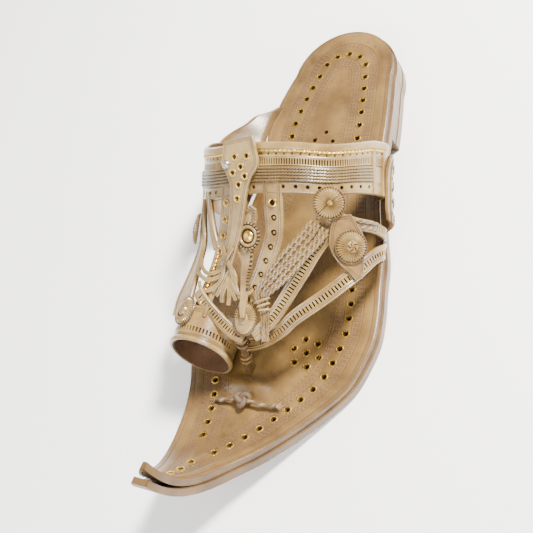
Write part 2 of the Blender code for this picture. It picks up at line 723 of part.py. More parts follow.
def tab(side, heel, half_long, high, low_lift, thick):
    """One arched tab on a flap."""
    outline = [(-1.0, GAP + 0.4), (-1.0, high * 0.62), (-0.6, high * 0.93), (0.0, high), (0.6, high * 0.93),
               (1.0, high * 0.62), (1.0, GAP + 0.4)]
    sections = []
    for lift in (low_lift, low_lift + thick):
        shrink = 1.0 if lift == low_lift else 0.86
        places = [
            (heel + share * half_long * shrink, level if level < 1 else level * (shrink + 0.05))
            for share, level in outline
        ]
        sections.append([flank(side, along, high, lift) for along, high in places])
    return loft(sections)


for old in list(bpy.data.objects):
    bpy.data.objects.remove(old)
PARTS = collection("Sandal", False)
HELPERS = collection("Helpers", True)

# Sole layers
outsole_top = -INSOLE_THICK - LAYER_GAP
outsole = layer("outsole", -OUTSOLE_STEP, LENGTH - 3.0, outsole_top, -SEAT, OUTSOLE_STEP, "sole")
lift_thick = (HEEL_RISE - 2 * GAP) / 2
lift_top = -SEAT - GAP
for name, step_out in (("heel_lift_upper", 1.2), ("heel_lift_lower", 1.6)):
    layer(name, -step_out, LIFT_LENGTH, lift_top, lift_top - lift_thick, step_out, "sole")
    lift_top -= lift_thick + GAP

# The insole: its outline and its eyelets' holes laid out flat, filled with triangles, then bent to the seat
eyelets = []


def inset_row(column, first, final):
    """Eyelets at an even pitch inside one edge, from one distance from the heel to another."""
    sign = 1 if column == 1 else -1
    heel, run = first, EYELET_PITCH
    before = None
    while heel < final:
        here = np.array([edge(heel, column) - sign * EYELET_INSET, heel])
        if before is not None:
            run += np.linalg.norm(here - before)
        if run >= EYELET_PITCH:
            eyelets.append((heel, here[0], EYELET_RADIUS))
            run = 0.0
        before = here
        heel += 0.5


for column, first, final in EYELET_RUNS:
    inset_row(column, first, final)
for turn in range(-60, 61, 30):
    a = np.radians(turn)
    middle = (edge(HEEL_ROUND, 1) + edge(HEEL_ROUND, 2)) / 2
    reach = (edge(HEEL_ROUND, 1) - edge(HEEL_ROUND, 2)) / 2 - EYELET_INSET
    heel = HEEL_ROUND - (HEEL_ROUND - EYELET_INSET) * np.cos(a)
    eyelets.append((heel, middle + reach * np.sin(a), EYELET_RADIUS))
for (heel,) in TIP_EYELETS:
    eyelets.append((heel, (edge(heel, 1) + edge(heel, 2)) / 2, EYELET_RADIUS))
eyelets.append((FLOWER_HEEL, FLOWER_X, EYELET_RADIUS))
for k in range(6):
    a = np.radians(60 * k + 20)
    petal = (FLOWER_HEEL + FLOWER_RADIUS * np.cos(a), FLOWER_X + FLOWER_RADIUS * np.sin(a))
    eyelets.append((*petal, EYELET_RADIUS))
eyelets += [(heel, x, VENT_RADIUS) for heel, x in VENTS]
insole = solid("insole", *pierced_layer(eyelets), "leather")

# The upper: the band, its straps and the toe's cuff joined into one body, then pierced
upper = solid("upper", *band_body(), "pale")
for name, rows in STRAPS.items():
    boolean(upper, solid(name + "_strap", *ribbon(rows, WALL, 3 * len(rows) // 2 + 1)), "UNION")
boolean(upper, solid("toe_ring", *ring_body()), "UNION")
post_path = [np.array([x, HEEL_BACK - heel, z]) for x, heel, z in (POST_TOP, POST_FOOT)]
post_corners = ((1, 0.4), (0.4, 1), (-0.4, 1), (-1, 0.4), (-1, -0.4), (-0.4, -1), (0.4, -1), (1, -0.4))
post_sections = []
for share, wide in ((0.0, 1.0), (0.35, 0.9), (0.7, 0.9), (1.0, 1.1)):
    point = post_path[0] * (1 - share) + post_path[1] * share
    half_w, half_t = POST_WIDE / 2 * wide, POST_THICK / 2
    post_sections.append([point + np.array([dx * half_w, dy * half_t, 0.0]) for dx, dy in post_corners])
boolean(upper, solid("post", *loft(post_sections)), "UNION")
pegs = band_pegs(0.87, 26, 150, 20, 1.0, 1.0, 6)
pegs += strap_pegs(STRAPS["outer_upright"], 0.16, 0.84, 8, 1.7, 1.7, 6)
pegs += strap_pegs(STRAPS["inner_upright"], 0.18, 0.52, 4, 1.5, 1.5, 6)
pegs += strap_pegs(STRAPS["outer_side"], 0.22, 0.8, 7, 0.55, 1.7, 4)
pegs += strap_pegs(STRAPS["fold_strap"], 0.1, 0.84, 16, 0.6, 1.7, 4)
pegs += strap_pegs(STRAPS["long_strap"], 0.3, 0.84, 12, 0.6, 1.6, 4)
pegs += ring_pegs(0.66, 15, 165, 11, 0.6, 1.5, 4)
boolean(upper, solid("upper_pegs", *merged(pegs)), "DIFFERENCE")

# Side flaps with their raised tabs, and the small tab before them on the outer side
for name, side in (("side_flap_outer", "outer"), ("side_flap_inner", "inner")):
    made = solid(name, *flap(side), "leather")
    for k in range(TAB_COUNT):
        heel = TAB_FIRST + TAB_PITCH * k
        lift = smooth(FLAP_TOPS[side], heel, 2) + 0.6
        body = tab(side, heel, TAB_WIDE / 2, TAB_HIGH, lift, FLAP_THICK + TAB_THICK - 0.6)
        boolean(made, solid(f"{name}_tab_{k}", *body), "UNION")
low, out = GAP + 0.2, TOE_TAB_LIFT + TOE_TAB_THICK
tab_corners = ((low, TOE_TAB_LIFT), (TOE_TAB_HIGH, TOE_TAB_LIFT), (TOE_TAB_HIGH, out), (low, out))
small_tab = [
    [flank("outer", heel, high, lift) for high, lift in tab_corners]
    for heel in np.linspace(TOE_TAB_REAR, TOE_TAB_REAR + TOE_TAB_LONG, 3)
]
solid("sole_tab", *loft(small_tab), "pale")

# Tongue with its seven holes, its tassel and stud
tongue = solid("tongue", *ribbon(TONGUE, TONGUE_THICK, 17), "pale")
tongue_pegs = []
for share, across in TONGUE_HOLES:
    spot, normal, ahead = strap_spot(TONGUE, share, across, 0.0)
    tongue_pegs.append(peg(spot, normal, ahead, 1.5, 1.5, 6, 4.0, 3.0))
boolean(tongue, solid("tongue_pegs", *merged(tongue_pegs)), "DIFFERENCE")

strands = []
for k, (tip_heel, tip_turn, tip_lift) in enumerate(TASSEL_TIPS):
    (root_heel, root_turn, root_lift), (mid_heel, mid_turn, mid_lift) = TASSEL_ROOT
    rows = (
        (root_heel + 0.7 * k, root_turn - 0.4 * k, root_lift + 0.1 * k, 4.0),
        (mid_heel, (mid_turn + tip_turn) / 2, mid_lift, 3.0),
        (tip_heel, tip_turn, tip_lift, 2.6),
    )
    strands.append(ribbon(rows, TASSEL_THICK, 5))
tassel = solid("tassel", *strands[0], "pale")
for k, body in enumerate(strands[1:]):
    boolean(tassel, solid(f"strand_{k}", *body), "UNION")
loop_rows = [(heel, turn, lift, 2.6) for heel, turn, lift in TASSEL_LOOP]
boolean(tassel, solid("strand_loop", *ribbon(loop_rows, TASSEL_THICK, 9)), "UNION")

STUD = ((1.0, 0.0), (0.95, 1.0), (0.6, 1.7), (0.0, 2.0))
spot, normal, ahead = strap_spot(TONGUE, 0.2, -0.34, TONGUE_THICK + GAP)
solid("stud", *disc(spot, normal, ahead, 2.4, 2.4, STUD, 10), "metal")

# Scalloped ornament and its brass dome
solid("tulip", *ribbon(TULIP, TULIP_THICK, 22), "pale")
spot, normal, ahead = strap_spot(TULIP, 0.27, 0.22, TULIP_THICK + GAP)
DOME = ((1.0, 0.0), (0.9, 0.6), (0.5, 1.1), (0.0, 1.3))
solid("brass_dome", *disc(spot, normal, ahead, 3.2, 3.2, DOME, 12), "brass")

# Leaf plate, cords and rosettes
solid("leaf_plate", *ribbon(LEAF, LEAF_THICK, 12), "leather")
cord_skin = [(-0.5, 0.25)]
for k in range(CORD_COUNT):
    shares = ((0.3, 1.0), (0.7, 1.0), (1.0, 0.6))
    cord_skin += [((k + along) / CORD_COUNT - 0.5, thick) for along, thick in shares]
cord_skin[-1] = (0.5, 0.25)
solid("cord_bundle", *ribbon(CORDS, CORD_THICK, 13, cord_skin), "cord")
for name, heel, turn, lift, along_radius, across_radius in ROSETTES:
    normal = last_normal(turn, heel)
    ahead = last(turn, heel + 2) - last(turn, heel - 2)
    body = disc(last(turn, heel, lift), normal, ahead, along_radius, across_radius, COIL, 2 * SCALLOPS, 0.1)
    solid(name, *body, "pale")
a = np.radians(RING_ROSETTE_TURN)
ring_normal = np.array([np.cos(a), 0.0, np.sin(a)])
ring_middle = np.array([RING_X, HEEL_BACK - RING_ROSETTE_HEEL, RING_Z])
ring_spot = ring_middle + ring_normal * (RING_HALF_HIGH + RING_WALL + RING_ROSETTE_LIFT)
forwards = np.array([0.0, -1.0, 0.0])
body = disc(ring_spot, ring_normal, forwards, RING_ROSETTE_LONG, RING_ROSETTE_WIDE, COIL, 2 * SCALLOPS, 0.1)
solid("rosette_ring", *body, "pale")

# The knot of the toe strap and its frayed ends, lying on the insole
knot_middle = seat(KNOT_HEEL, KNOT_X, KNOT_LIFT)
knot_profile = ((0.8, 0.0), (1.0, 1.4), (0.95, 3.2), (0.6, 4.4), (0.0, 4.8))
upwards, sideways = np.array([0.0, 0.0, 1.0]), np.array([1.0, 0.0, 0.0])
body = disc(knot_middle, upwards, sideways, KNOT_RADIUS, KNOT_RADIUS, knot_profile, 12)
knot = solid("toe_knot", *body, "cord")
for k, reach in enumerate(KNOT_ENDS):
    path = [seat(KNOT_HEEL + dy, KNOT_X + dx, lift) for dx, dy, lift in reach]
    boolean(knot, solid(f"knot_end_{k}", *tube(path, [1.5] * (len(path) - 1) + [1.1], 6)), "UNION")
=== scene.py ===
"""Kolhapuri toe-ring sandal, the left shoe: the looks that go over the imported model.

Lengths are in millimetres and become metres in the mesh. A place on the shoe is given as in the
model: by its distance from the back of the heel ("heel") and either by its distance across the sole,
or by the turn over the foot in degrees, where 0 is the outer side of the sole, 90 the top of the foot
and 180 the big toe's side. A strap's own places are x along it and y across it.
"""

import math

import bmesh
import bpy
import numpy as np
from mathutils import Matrix, Vector


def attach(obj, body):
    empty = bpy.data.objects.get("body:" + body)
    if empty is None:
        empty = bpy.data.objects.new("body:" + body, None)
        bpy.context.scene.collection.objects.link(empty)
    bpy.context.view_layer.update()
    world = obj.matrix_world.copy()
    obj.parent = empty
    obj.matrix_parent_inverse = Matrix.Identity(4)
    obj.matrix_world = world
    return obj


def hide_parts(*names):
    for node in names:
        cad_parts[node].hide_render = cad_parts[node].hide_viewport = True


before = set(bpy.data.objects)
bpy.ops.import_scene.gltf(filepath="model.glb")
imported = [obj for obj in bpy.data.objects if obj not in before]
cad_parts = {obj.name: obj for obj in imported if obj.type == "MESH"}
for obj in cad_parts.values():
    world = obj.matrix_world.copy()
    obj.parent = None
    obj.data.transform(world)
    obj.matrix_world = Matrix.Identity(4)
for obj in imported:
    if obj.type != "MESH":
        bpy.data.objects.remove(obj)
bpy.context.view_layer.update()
MM = 0.001

# Sole
LENGTH, HALF_WIDTH, HEEL_BACK = 329.0, 60.0, 38.0
HEEL_RISE, DROP_START, DROP_RUN = 13.0, 70.0, 100.0
TOE_START, TOE_TURN, TOE_POWER = 186.0, 104.5, 2.7
HEEL_ROUND, LIFT_LENGTH = 33.0, 71.0
INSOLE_THICK, OUTSOLE_THICK, LAYER_GAP, GAP = 3.7, 5.2, 0.5, 0.3
SEAT = INSOLE_THICK + LAYER_GAP + OUTSOLE_THICK
TIP_PART_START, TIP_PART = 292.0, 3.4
TIP_THIN_START, TIP_THIN = 240.0, 0.3
HUMP_HEEL, HUMP_X, HUMP_LONG, HUMP_WIDE, HUMP_HIGH = 234.0, -6.0, 8.0, 17.0, 3.0

# Shares: "along" of LENGTH, "outer" and "inner" of HALF_WIDTH
SOLE = (
    (0.000, 0.33, -0.42),
    (0.045, 0.43, -0.51),
    (0.100, 0.48, -0.59),
    (0.137, 0.52, -0.64),
    (0.182, 0.565, -0.68),
    (0.228, 0.60, -0.69),
    (0.274, 0.625, -0.65),
    (0.319, 0.67, -0.63),
    (0.365, 0.72, -0.66),
    (0.410, 0.785, -0.72),
    (0.456, 0.86, -0.80),
    (0.502, 0.90, -0.875),
    (0.547, 0.95, -0.93),
    (0.593, 0.975, -0.943),
    (0.638, 0.94, -0.90),
    (0.684, 0.86, -0.80),
    (0.726, 0.70, -0.71),
    (0.772, 0.50, -0.645),
    (0.818, 0.295, -0.595),
    (0.863, 0.10, -0.54),
    (0.909, -0.03, -0.48),
    (0.954, -0.125, -0.415),
    (0.980, -0.18, -0.365),
    (1.000, -0.25, -0.30),
)

# The foot's room: heel, outer and inner shares of HALF_WIDTH, height share of ROOM, roundness
ROOM, FLARE, EDGE_INSET = 80.0, 20.0, 3.6
LAST = (
    (80, 0.75, 0.95, 1.00, 2.35),
    (105, 0.80, 0.97, 0.94, 2.35),
    (125, 0.87, 0.95, 0.865, 2.35),
    (145, 0.95, 0.91, 0.77, 2.35),
    (165, 0.99, 0.93, 0.64, 2.3),
    (185, 1.02, 0.95, 0.51, 2.4),
    (205, 1.00, 0.93, 0.41, 2.5),
    (225, 0.93, 0.83, 0.35, 2.6),
    (245, 0.77, 0.70, 0.30, 2.6),
)

# Instep band: turn, rear edge and front edge
BAND = (
    (2, 86, 118),
    (20, 97, 126),
    (36, 108, 133),
    (53, 116, 140),
    (72, 120, 143.5),
    (90, 122, 146),
    (108, 123, 148),
    (124, 121, 147),
    (145, 113, 141),
    (160, 102, 132),
    (178, 88, 120),
)
WALL = 2.4

# Straps: heel, turn, lift and width
STRAPS = {
    "outer_upright": (
        (138, 84, 0, 10.5), (150, 83, 0, 10.5), (163, 82, 0, 10), (175, 85, 0, 9.5),
        (186, 88, 0, 9), (198, 91, 0, 8), (208, 92, 0, 8),
    ),
    "inner_upright": (
        (138, 107, 0, 9.5), (150, 107, 0, 9.5), (160, 108, 0, 9), (172, 109, 0, 9),
        (186, 112, 0.5, 9), (198, 114, 3, 10), (208, 115, 5, 11),
    ),
    "outer_side": (
        (150, 60, 0, 6.5), (149, 48, 0, 6.5), (147.5, 36, 0, 6.5), (144, 23, 0, 6.5),
        (141.5, 10, 0, 6.5), (140, 3, 0, 6.5),
    ),
    "fold_strap": (
        (146, 3, 0, 9), (151, 12, 0, 8.5), (158, 22, 0, 8), (169, 33, 0, 8), (178, 43, 0, 8),
        (186, 52, 0, 8), (200, 68, 0, 8), (208, 75, -2, 7.5), (214, 83, -6, 7), (218.5, 92.5, -12, 6.5),
    ),
    "long_strap": (
        (137, 53, 0, 9), (147, 53, 0, 9), (157, 55, 0, 9), (171, 63, 0, 8.5), (187, 72, 0, 8),
        (203, 80, 0, 8), (214, 87, 0, 7),
    ),
    "ring_strap": (
        (194, 118, 5.5, 7), (200, 112, 4.5, 7), (207, 104, 2, 7), (213, 96, 0, 7), (216, 90, 0, 6),
    ),
    "inner_side": (
        (132, 146, 0, 9), (145, 142, 0, 8), (158, 136, 0, 7.5), (168, 132, 0, 8),
        (178, 133, 0.6, 9.5), (188, 134, 2, 13), (198, 134, 4, 17), (206, 133, 5, 19),
    ),
    "inner_cross": ((143, 128, 0, 5), (153, 124, 0, 5), (163, 119, 0, 5), (172, 113, 0, 5)),
}

# Big toe's ring and the post between the toes
RING_X, RING_Z = -30.5, 28.5
RING_HALF_WIDE, RING_HALF_HIGH = 15.8, 16.6
RING_REAR, RING_FRONT, RING_LEAN, RING_WALL = 203.0, 223.0, 6.0, 2.2
POST_TOP, POST_FOOT = (-3.0, 213.0, 41.3), (-7.5, 224.0, 11.6)

# Ornaments: heel, turn, lift and width
TONGUE = (
    (121, 98, 5.0, 19), (127, 97, 5.0, 21.5), (133, 96.5, 5.0, 23.5), (138, 96.5, 4.9, 16),
    (143, 96.5, 4.8, 11.5), (150, 97, 4.8, 10), (160, 98, 4.8, 9), (170, 99.5, 4.8, 8), (179, 101, 4.7, 7),
)
TONGUE_THICK = 1.8
TONGUE_HOLES = (
    (0.14, 0.22), (0.14, -0.12), (0.22, 0.05), (0.27, -0.22), (0.29, 0.25), (0.36, 0.02), (0.47, 0.0),
)
TASSEL_THICK = 1.5
TASSEL_TIPS = ((196, 106, 3.1), (199, 102, 3.2), (200, 98, 3.2), (197, 94.5, 3.2))
TASSEL_LOOP = ((181, 101.9, 2.8), (186, 106, 3.4), (188, 113, 4.3), (185.5, 120, 4.6), (182, 124, 3.6))
TULIP = (
    (152, 90.5, 2.4, 4), (155.5, 92, 2.4, 10), (160, 94, 2.4, 14.5), (166, 94.5, 2.4, 15),
    (172, 93.5, 2.4, 11), (177, 92, 2.4, 6.5), (184, 92, 2.8, 5), (192, 91, 4.2, 4.4),
    (200, 90.3, 5.8, 3.6), (206, 89.8, 7.0, 2.4),
)
TULIP_THICK = 1.8
LEAF = (
    (147, 46, 2.85, 9), (152, 45, 2.85, 15), (158, 43, 2.85, 19), (164, 40, 2.85, 16),
    (170, 36, 2.85, 9), (174, 34, 2.85, 4),
)
LEAF_THICK = 1.5
CORDS = (
    (154.5, 58.5, 3.0, 11.5), (159, 61, 3.0, 12.5), (166, 66, 3.0, 12.5), (176, 74, 3.0, 12),
    (184, 80, 3.0, 11), (192, 85, 3.0, 9), (199, 83.5, 3.0, 5), (208, 82, 3.0, 4.6), (216, 80.5, 3.0, 4.2),
)

# Side flaps: heel, height and lift, for the outer side (1) and the inner side (2)
FLAP_TOPS = {
    1: (
        (94, 12, 3.9), (99, 18, 3.9), (106, 21, 3.9), (114, 22, 3.9), (122, 22, 3.9), (130, 22, 3.9),
        (135.5, 21, 3.9),
    ),
    2: (
        (58, 1.4, 0.4), (63, 4, 1), (69, 7.5, 1.8), (76, 9.5, 2.4), (84, 12.5, 3.8), (94, 16.5, 4.6),
        (104, 20.5, 4.6), (115, 22, 4.6), (125, 22, 4.6), (135.5, 21, 4.6),
    ),
}
FLAP_THICK = 1.5
TAB_FIRST, TAB_PITCH, TAB_COUNT, TAB_WIDE, TAB_HIGH, TAB_THICK = 102.2, 9.5, 4, 8.2, 13.0, 1.4
KNOT_HEEL, KNOT_X, KNOT_LIFT, KNOT_RADIUS = 243.0, -4.0, 1.65, 5.6
EYELET_RADIUS, EYELET_PITCH, EYELET_INSET = 1.6, 8.6, 17.0
FLOWER_HEEL, FLOWER_X, FLOWER_RADIUS = 209.0, 22.0, 8.2


def smooth(rows, value, column):
    """The values of a table's column at these keys, smooth between its rows."""
    table = np.array(rows, float)
    key, data = table[:, 0], table[:, column]
    steps = np.diff(data) / np.diff(key)
    slope = np.concatenate([steps[:1], (steps[:-1] + steps[1:]) / 2, steps[-1:]])
    value = np.asarray(value, float)
    i = np.clip(np.searchsorted(key, value) - 1, 0, len(key) - 2)
    span = key[i + 1] - key[i]
    t = np.clip((value - key[i]) / span, 0, 1)
    a = (1 + 2 * t) * (1 - t) ** 2
    b = t * (1 - t) ** 2
    return a * data[i] + b * span * slope[i] + (1 - a) * data[i + 1] - t * t * (1 - t) * span * slope[i + 1]


def unit(vectors):
    return vectors / np.linalg.norm(vectors, axis=-1, keepdims=True)


TRACK = np.arange(-6.0, LENGTH + 8.0, 0.5)
FALL = np.clip((TRACK - DROP_START) / DROP_RUN, 0, 1)
FALL_ANGLE = -np.arctan(HEEL_RISE * 6 * FALL * (1 - FALL) / DROP_RUN)
TOE_SHARE = np.clip((TRACK - TOE_START) / (LENGTH - TOE_START), 0, 1.03)
ANGLE = FALL_ANGLE + np.radians(TOE_TURN) * TOE_SHARE**TOE_POWER
MIDDLE = (ANGLE[1:] + ANGLE[:-1]) / 2
TRACK_Y = HEEL_BACK + 6.0 - np.concatenate([[0], np.cumsum(np.cos(MIDDLE) * 0.5)])
TRACK_Z = np.concatenate([[0], np.cumsum(np.sin(MIDDLE) * 0.5)])
TRACK_Z = TRACK_Z - np.interp(TOE_START, TRACK, TRACK_Z) + SEAT


def seat(heel, x, lift=0.0):
    """Points over the insole's top, raised at right angles to it."""
    angle = np.interp(heel, TRACK, ANGLE)
    y = np.interp(heel, TRACK, TRACK_Y) + lift * np.sin(angle)
    z = np.interp(heel, TRACK, TRACK_Z) + lift * np.cos(angle)
    return np.stack(np.broadcast_arrays(np.asarray(x, float), y, z), -1)


def edge(heel, column):
    """Where the insole's edge is across: column 1 is the outer side and 2 the inner."""
    heel = np.asarray(heel, float)
    width = smooth(SOLE, np.clip(heel, HEEL_ROUND, LENGTH) / LENGTH, column) * HALF_WIDTH
    back = np.clip(HEEL_ROUND - heel, 0, HEEL_ROUND) / HEEL_ROUND
    return width * np.sqrt(1 - back**2)


def raw_last(turn, heel):
    turn, heel = np.broadcast_arrays(np.asarray(turn, float), np.asarray(heel, float))
    outer = turn <= 90
    half = np.where(outer, smooth(LAST, heel, 1), smooth(LAST, heel, 2)) * HALF_WIDTH
    power = 2 / smooth(LAST, heel, 4)
    angle = np.radians(turn)
    across = np.abs(np.cos(angle)) ** power * half
    rise = np.clip(np.sin(angle), 0, None) ** power * smooth(LAST, heel, 3) * ROOM
    foot = np.abs(np.where(outer, edge(heel, 1), edge(heel, 2))) - EDGE_INSET
    share = np.clip(rise / FLARE, 0, 1)
    share = share * share * (3 - 2 * share)
    across = foot + (across - foot) * share if np.ndim(rise) == 0 and rise < FLARE else np.where(
        rise < FLARE, foot + (across - foot) * share, across
    )
    base = seat(heel, 0.0)
    return np.stack([np.where(outer, across, -across), base[..., 1], base[..., 2] + rise], -1)


def last_normal(turn, heel):
    turned = raw_last(np.minimum(turn + 1.0, 179.5), heel) - raw_last(np.maximum(turn - 1.0, 0.5), heel)
    forward = raw_last(turn, heel + 1.0) - raw_last(turn, heel - 1.0)
    return unit(np.cross(turned, forward))


def last(turn, heel, lift=0.0):
    """Points of the foot's room at these turns over the foot, raised off it."""
    return raw_last(turn, heel) + np.asarray(lift)[..., None] * last_normal(turn, heel)


def flank(side, heel, high, lift):
    """Points beside the band's end, this high over the insole and this far outside the foot's room."""
    share = high / (smooth(LAST, heel, 3) * ROOM)
    turn = np.degrees(np.arcsin(share ** (smooth(LAST, heel, 4) / 2)))
    turn = turn if side == 1 else 180.0 - turn
    across = last_normal(turn, heel)[..., 0]
    moved = np.zeros(np.shape(across) + (3,))
    moved[..., 0] = lift / across
    return raw_last(turn, heel) + moved


def tip_gap(heel):
    """How far the insole's tip has come away from the outsole."""
    return TIP_PART * (np.clip(heel - TIP_PART_START, 0, None) / (LENGTH - TIP_PART_START)) ** 2


def hump(heel, x):
    """How far the toe strap under the insole lifts it."""
    away = ((heel - HUMP_HEEL) / HUMP_LONG) ** 2 + ((x - HUMP_X) / HUMP_WIDE) ** 2
    return HUMP_HIGH * np.clip(1 - away, 0, None) ** 1.5


class Strap:
    """A strap's middle line on the foot: points, normals and widths by the length along it."""

    def __init__(self, rows, more=0.0):
        numbered = [(i, *row) for i, row in enumerate(rows)]
        places = np.linspace(0, len(rows) - 1, 40 * len(rows))
        heel, turn, lift, width = (smooth(numbered, places, c) for c in (1, 2, 3, 4))
        self.centre = last(turn, heel, lift + more)
        self.ahead = unit(np.gradient(self.centre, axis=0))
        normal = last_normal(turn, heel)
        self.normal = unit(normal - self.ahead * (normal * self.ahead).sum(-1, keepdims=True))
        self.side = np.cross(self.normal, self.ahead)
        step = np.linalg.norm(np.diff(self.centre, axis=0), axis=1)
        self.run = np.concatenate([[0], np.cumsum(step)])
        self.long = self.run[-1]
        self.width = width
        self.wide = float(width.max())
        self.share = np.linspace(0, 1, len(places))

    def at(self, x, values):
        if values.ndim == 1:
            return np.interp(x, self.run, values)
        return np.stack([np.interp(x, self.run, values[:, i]) for i in range(3)], -1)

    def place(self, x, y, lift=0.0):
        """Points x along and y across, where y is scaled so that the widest place has its real size."""
        across = y * self.at(x, self.width) / self.wide
        normal = self.at(x, self.normal)
        return self.at(x, self.centre) + self.at(x, self.side) * across[..., None] + normal * np.asarray(lift)[..., None]

    def spot(self, x, y, lift=0.0):
        """The matrix that stands a small thing on the strap, its own x axis along it."""
        x, y = float(x), float(y)
        return stand(self.place(np.array(x), np.array(y), lift), self.at(x, self.normal), self.at(x, self.ahead))


def stand(point, normal, ahead):
    """The matrix of a place in millimetres: x axis ahead, z axis along the normal."""
    normal = unit(np.asarray(normal, float))
    ahead = unit(ahead - normal * np.dot(ahead, normal))
    side = np.cross(normal, ahead)
    made = Matrix.Identity(4)
    for i, column in enumerate((ahead, side, normal, point)):
        for j in range(3):
            made[j][i] = float(column[j])
    return made


# Sheets of leather

def sheet(long, wide, cell_long, cell_wide):
    """A flat grid, x from 0 to long and y from -wide / 2 to wide / 2."""
    made = bmesh.new()
    columns, rows = max(round(long / cell_long), 1), max(round(wide / cell_wide), 1)
    bmesh.ops.create_grid(made, x_segments=columns, y_segments=rows, size=0.5)
    grow = Matrix.Translation((long / 2, 0, 0)) @ Matrix.Diagonal((long, wide, 1, 1))
    bmesh.ops.transform(made, matrix=grow, verts=made.verts)
    return made


ROUND, SQUARE = 2, 10


def pierce(made, holes):
    """Cuts holes out of a flat sheet. Each is x, y, half sizes along x and y, and ROUND or SQUARE."""
    middles = np.array([face.calc_center_median()[:2] for face in made.faces])
    gone = np.zeros(len(middles), bool)
    for x, y, half_x, half_y, form in holes:
        gone |= (np.abs((middles[:, 0] - x) / half_x) ** form + np.abs((middles[:, 1] - y) / half_y) ** form) < 1
    faces = [face for face, out in zip(made.faces[:], gone) if out]
    bmesh.ops.delete(made, geom=faces, context="FACES")
    rims = [v for v in made.verts if v.is_boundary]
    spots = np.array([v.co[:2] for v in rims])
    for x, y, half_x, half_y, form in holes:
        if form != ROUND:
            continue
        dx, dy = (spots[:, 0] - x) / half_x, (spots[:, 1] - y) / half_y
        away = np.hypot(dx, dy)
        for i in np.nonzero((away < 1.6) & (away > 0.3))[0]:
            rims[i].co.x = x + dx[i] / away[i] * half_x
            rims[i].co.y = y + dy[i] / away[i] * half_y


def walled(made, place, top, bottom=0.0):
    """Gives a flat sheet its thickness and bends it. `top` gives lift and tone at x and y; tone 1 is dark and paints
    shade into grooves and hollows. The underside is set to tone 0.3.
    """
    old = set(made.verts)
    bmesh.ops.extrude_face_region(made, geom=made.faces[:])
    made.verts.ensure_lookup_table()
    x = np.array([v.co.x for v in made.verts])
    y = np.array([v.co.y for v in made.verts])
    under = np.array([v not in old for v in made.verts])
    lift, painted_shade_and_dark_lines = top(x, y)
    low = bottom(x, y) if callable(bottom) else bottom
    points = place(x, y, np.where(under, low, lift))
    shade = made.verts.layers.float.new("painted_shade_and_dark_lines")
    flat = made.loops.layers.uv.new("flat")
    for v in made.verts:
        for loop in v.link_loops:
            loop[flat].uv = (v.co.x, v.co.y)
    # painted shade from `top` on the top face; a fixed, slightly darker 0.3 on the underside
    for v, point, dark in zip(made.verts, points, np.where(under, 0.3, painted_shade_and_dark_lines)):
        v.co = point
        v[shade] = dark
    for face in made.faces:
        face.material_index = int(len({v in old for v in face.verts}) > 1)
    return made


def set_painted_shade(made, painted_shade_and_dark_lines):
    layer = made.verts.layers.float.get("painted_shade_and_dark_lines") or made.verts.layers.float.new("painted_shade_and_dark_lines")
    for v in made.verts:
        v[layer] = painted_shade_and_dark_lines
    return made


def piece(name, made, finish, angle=40, turn_out=True):
    """A finished object from a bmesh in millimetres."""
    bmesh.ops.transform(made, matrix=Matrix.Scale(MM, 4), verts=made.verts)
    if turn_out:
        bmesh.ops.recalc_face_normals(made, faces=made.faces)
    mesh = bpy.data.meshes.new(name)
    made.to_mesh(mesh)
    made.free()
    mesh.polygons.foreach_set("use_smooth", [True] * len(mesh.polygons))
    mesh.set_sharp_from_angle(angle=math.radians(angle))
    mesh.materials.append(finish)
    if any(face.material_index for face in mesh.polygons):
        mesh.materials.append(TRIM_EDGE)
    obj = bpy.data.objects.new(name, mesh)
    bpy.context.scene.collection.objects.link(obj)
    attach(obj, "root")
    return obj


def dress(name, made, finish, node, angle=40):
    """A piece that stands for a solid of the model."""
    obj = piece(name, made, finish, angle)
    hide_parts(node)
    return obj


def copies(name, small, spots, finish, angle=40):
    """One small shape repeated at every matrix of `spots`, joined."""
    bmesh.ops.recalc_face_normals(small, faces=small.faces)
    one = bpy.data.meshes.new(name + "_one")
    small.to_mesh(one)
    small.free()
    made = bmesh.new()
    for spot in spots:
        start = len(made.verts)
        made.from_mesh(one)
        made.verts.ensure_lookup_table()
        bmesh.ops.transform(made, matrix=spot, verts=made.verts[start:])
    bpy.data.meshes.remove(one)
    return piece(name, made, finish, angle, turn_out=False)


def turned(profile, steps):
    """A closed turned shape round the z axis from a profile of radius and height that starts and ends at 0."""
    made = bmesh.new()
    line = [made.verts.new((radius, 0, high)) for radius, high in profile]
    for a, b in zip(line, line[1:]):
        made.edges.new((a, b))
    bmesh.ops.spin(
        made, geom=made.verts[:] + made.edges[:], cent=(0, 0, 0), axis=(0, 0, 1), dvec=(0, 0, 0),
        angle=2 * math.pi, steps=steps, use_merge=True, use_normal_flip=False, use_duplicate=False,
    )
    bmesh.ops.remove_doubles(made, verts=made.verts, dist=1e-4)
    return made


def hoop(radius, thick, around, sides, flat=1.0):
    """A ring of round wire lying on z 0."""
    made = bmesh.new()
    bmesh.ops.create_circle(made, segments=sides, radius=thick, matrix=Matrix.Rotation(math.pi / 2, 4, "X"))
    bmesh.ops.translate(made, verts=made.verts, vec=(radius, 0, 0))
    bmesh.ops.spin(
        made, geom=made.verts[:] + made.edges[:], cent=(0, 0, 0), axis=(0, 0, 1), dvec=(0, 0, 0),
        angle=2 * math.pi, steps=around, use_merge=True, use_normal_flip=False, use_duplicate=False,
    )
    bmesh.ops.remove_doubles(made, verts=made.verts, dist=1e-4)
    bmesh.ops.scale(made, verts=made.verts, vec=(1, 1, flat))
    return made


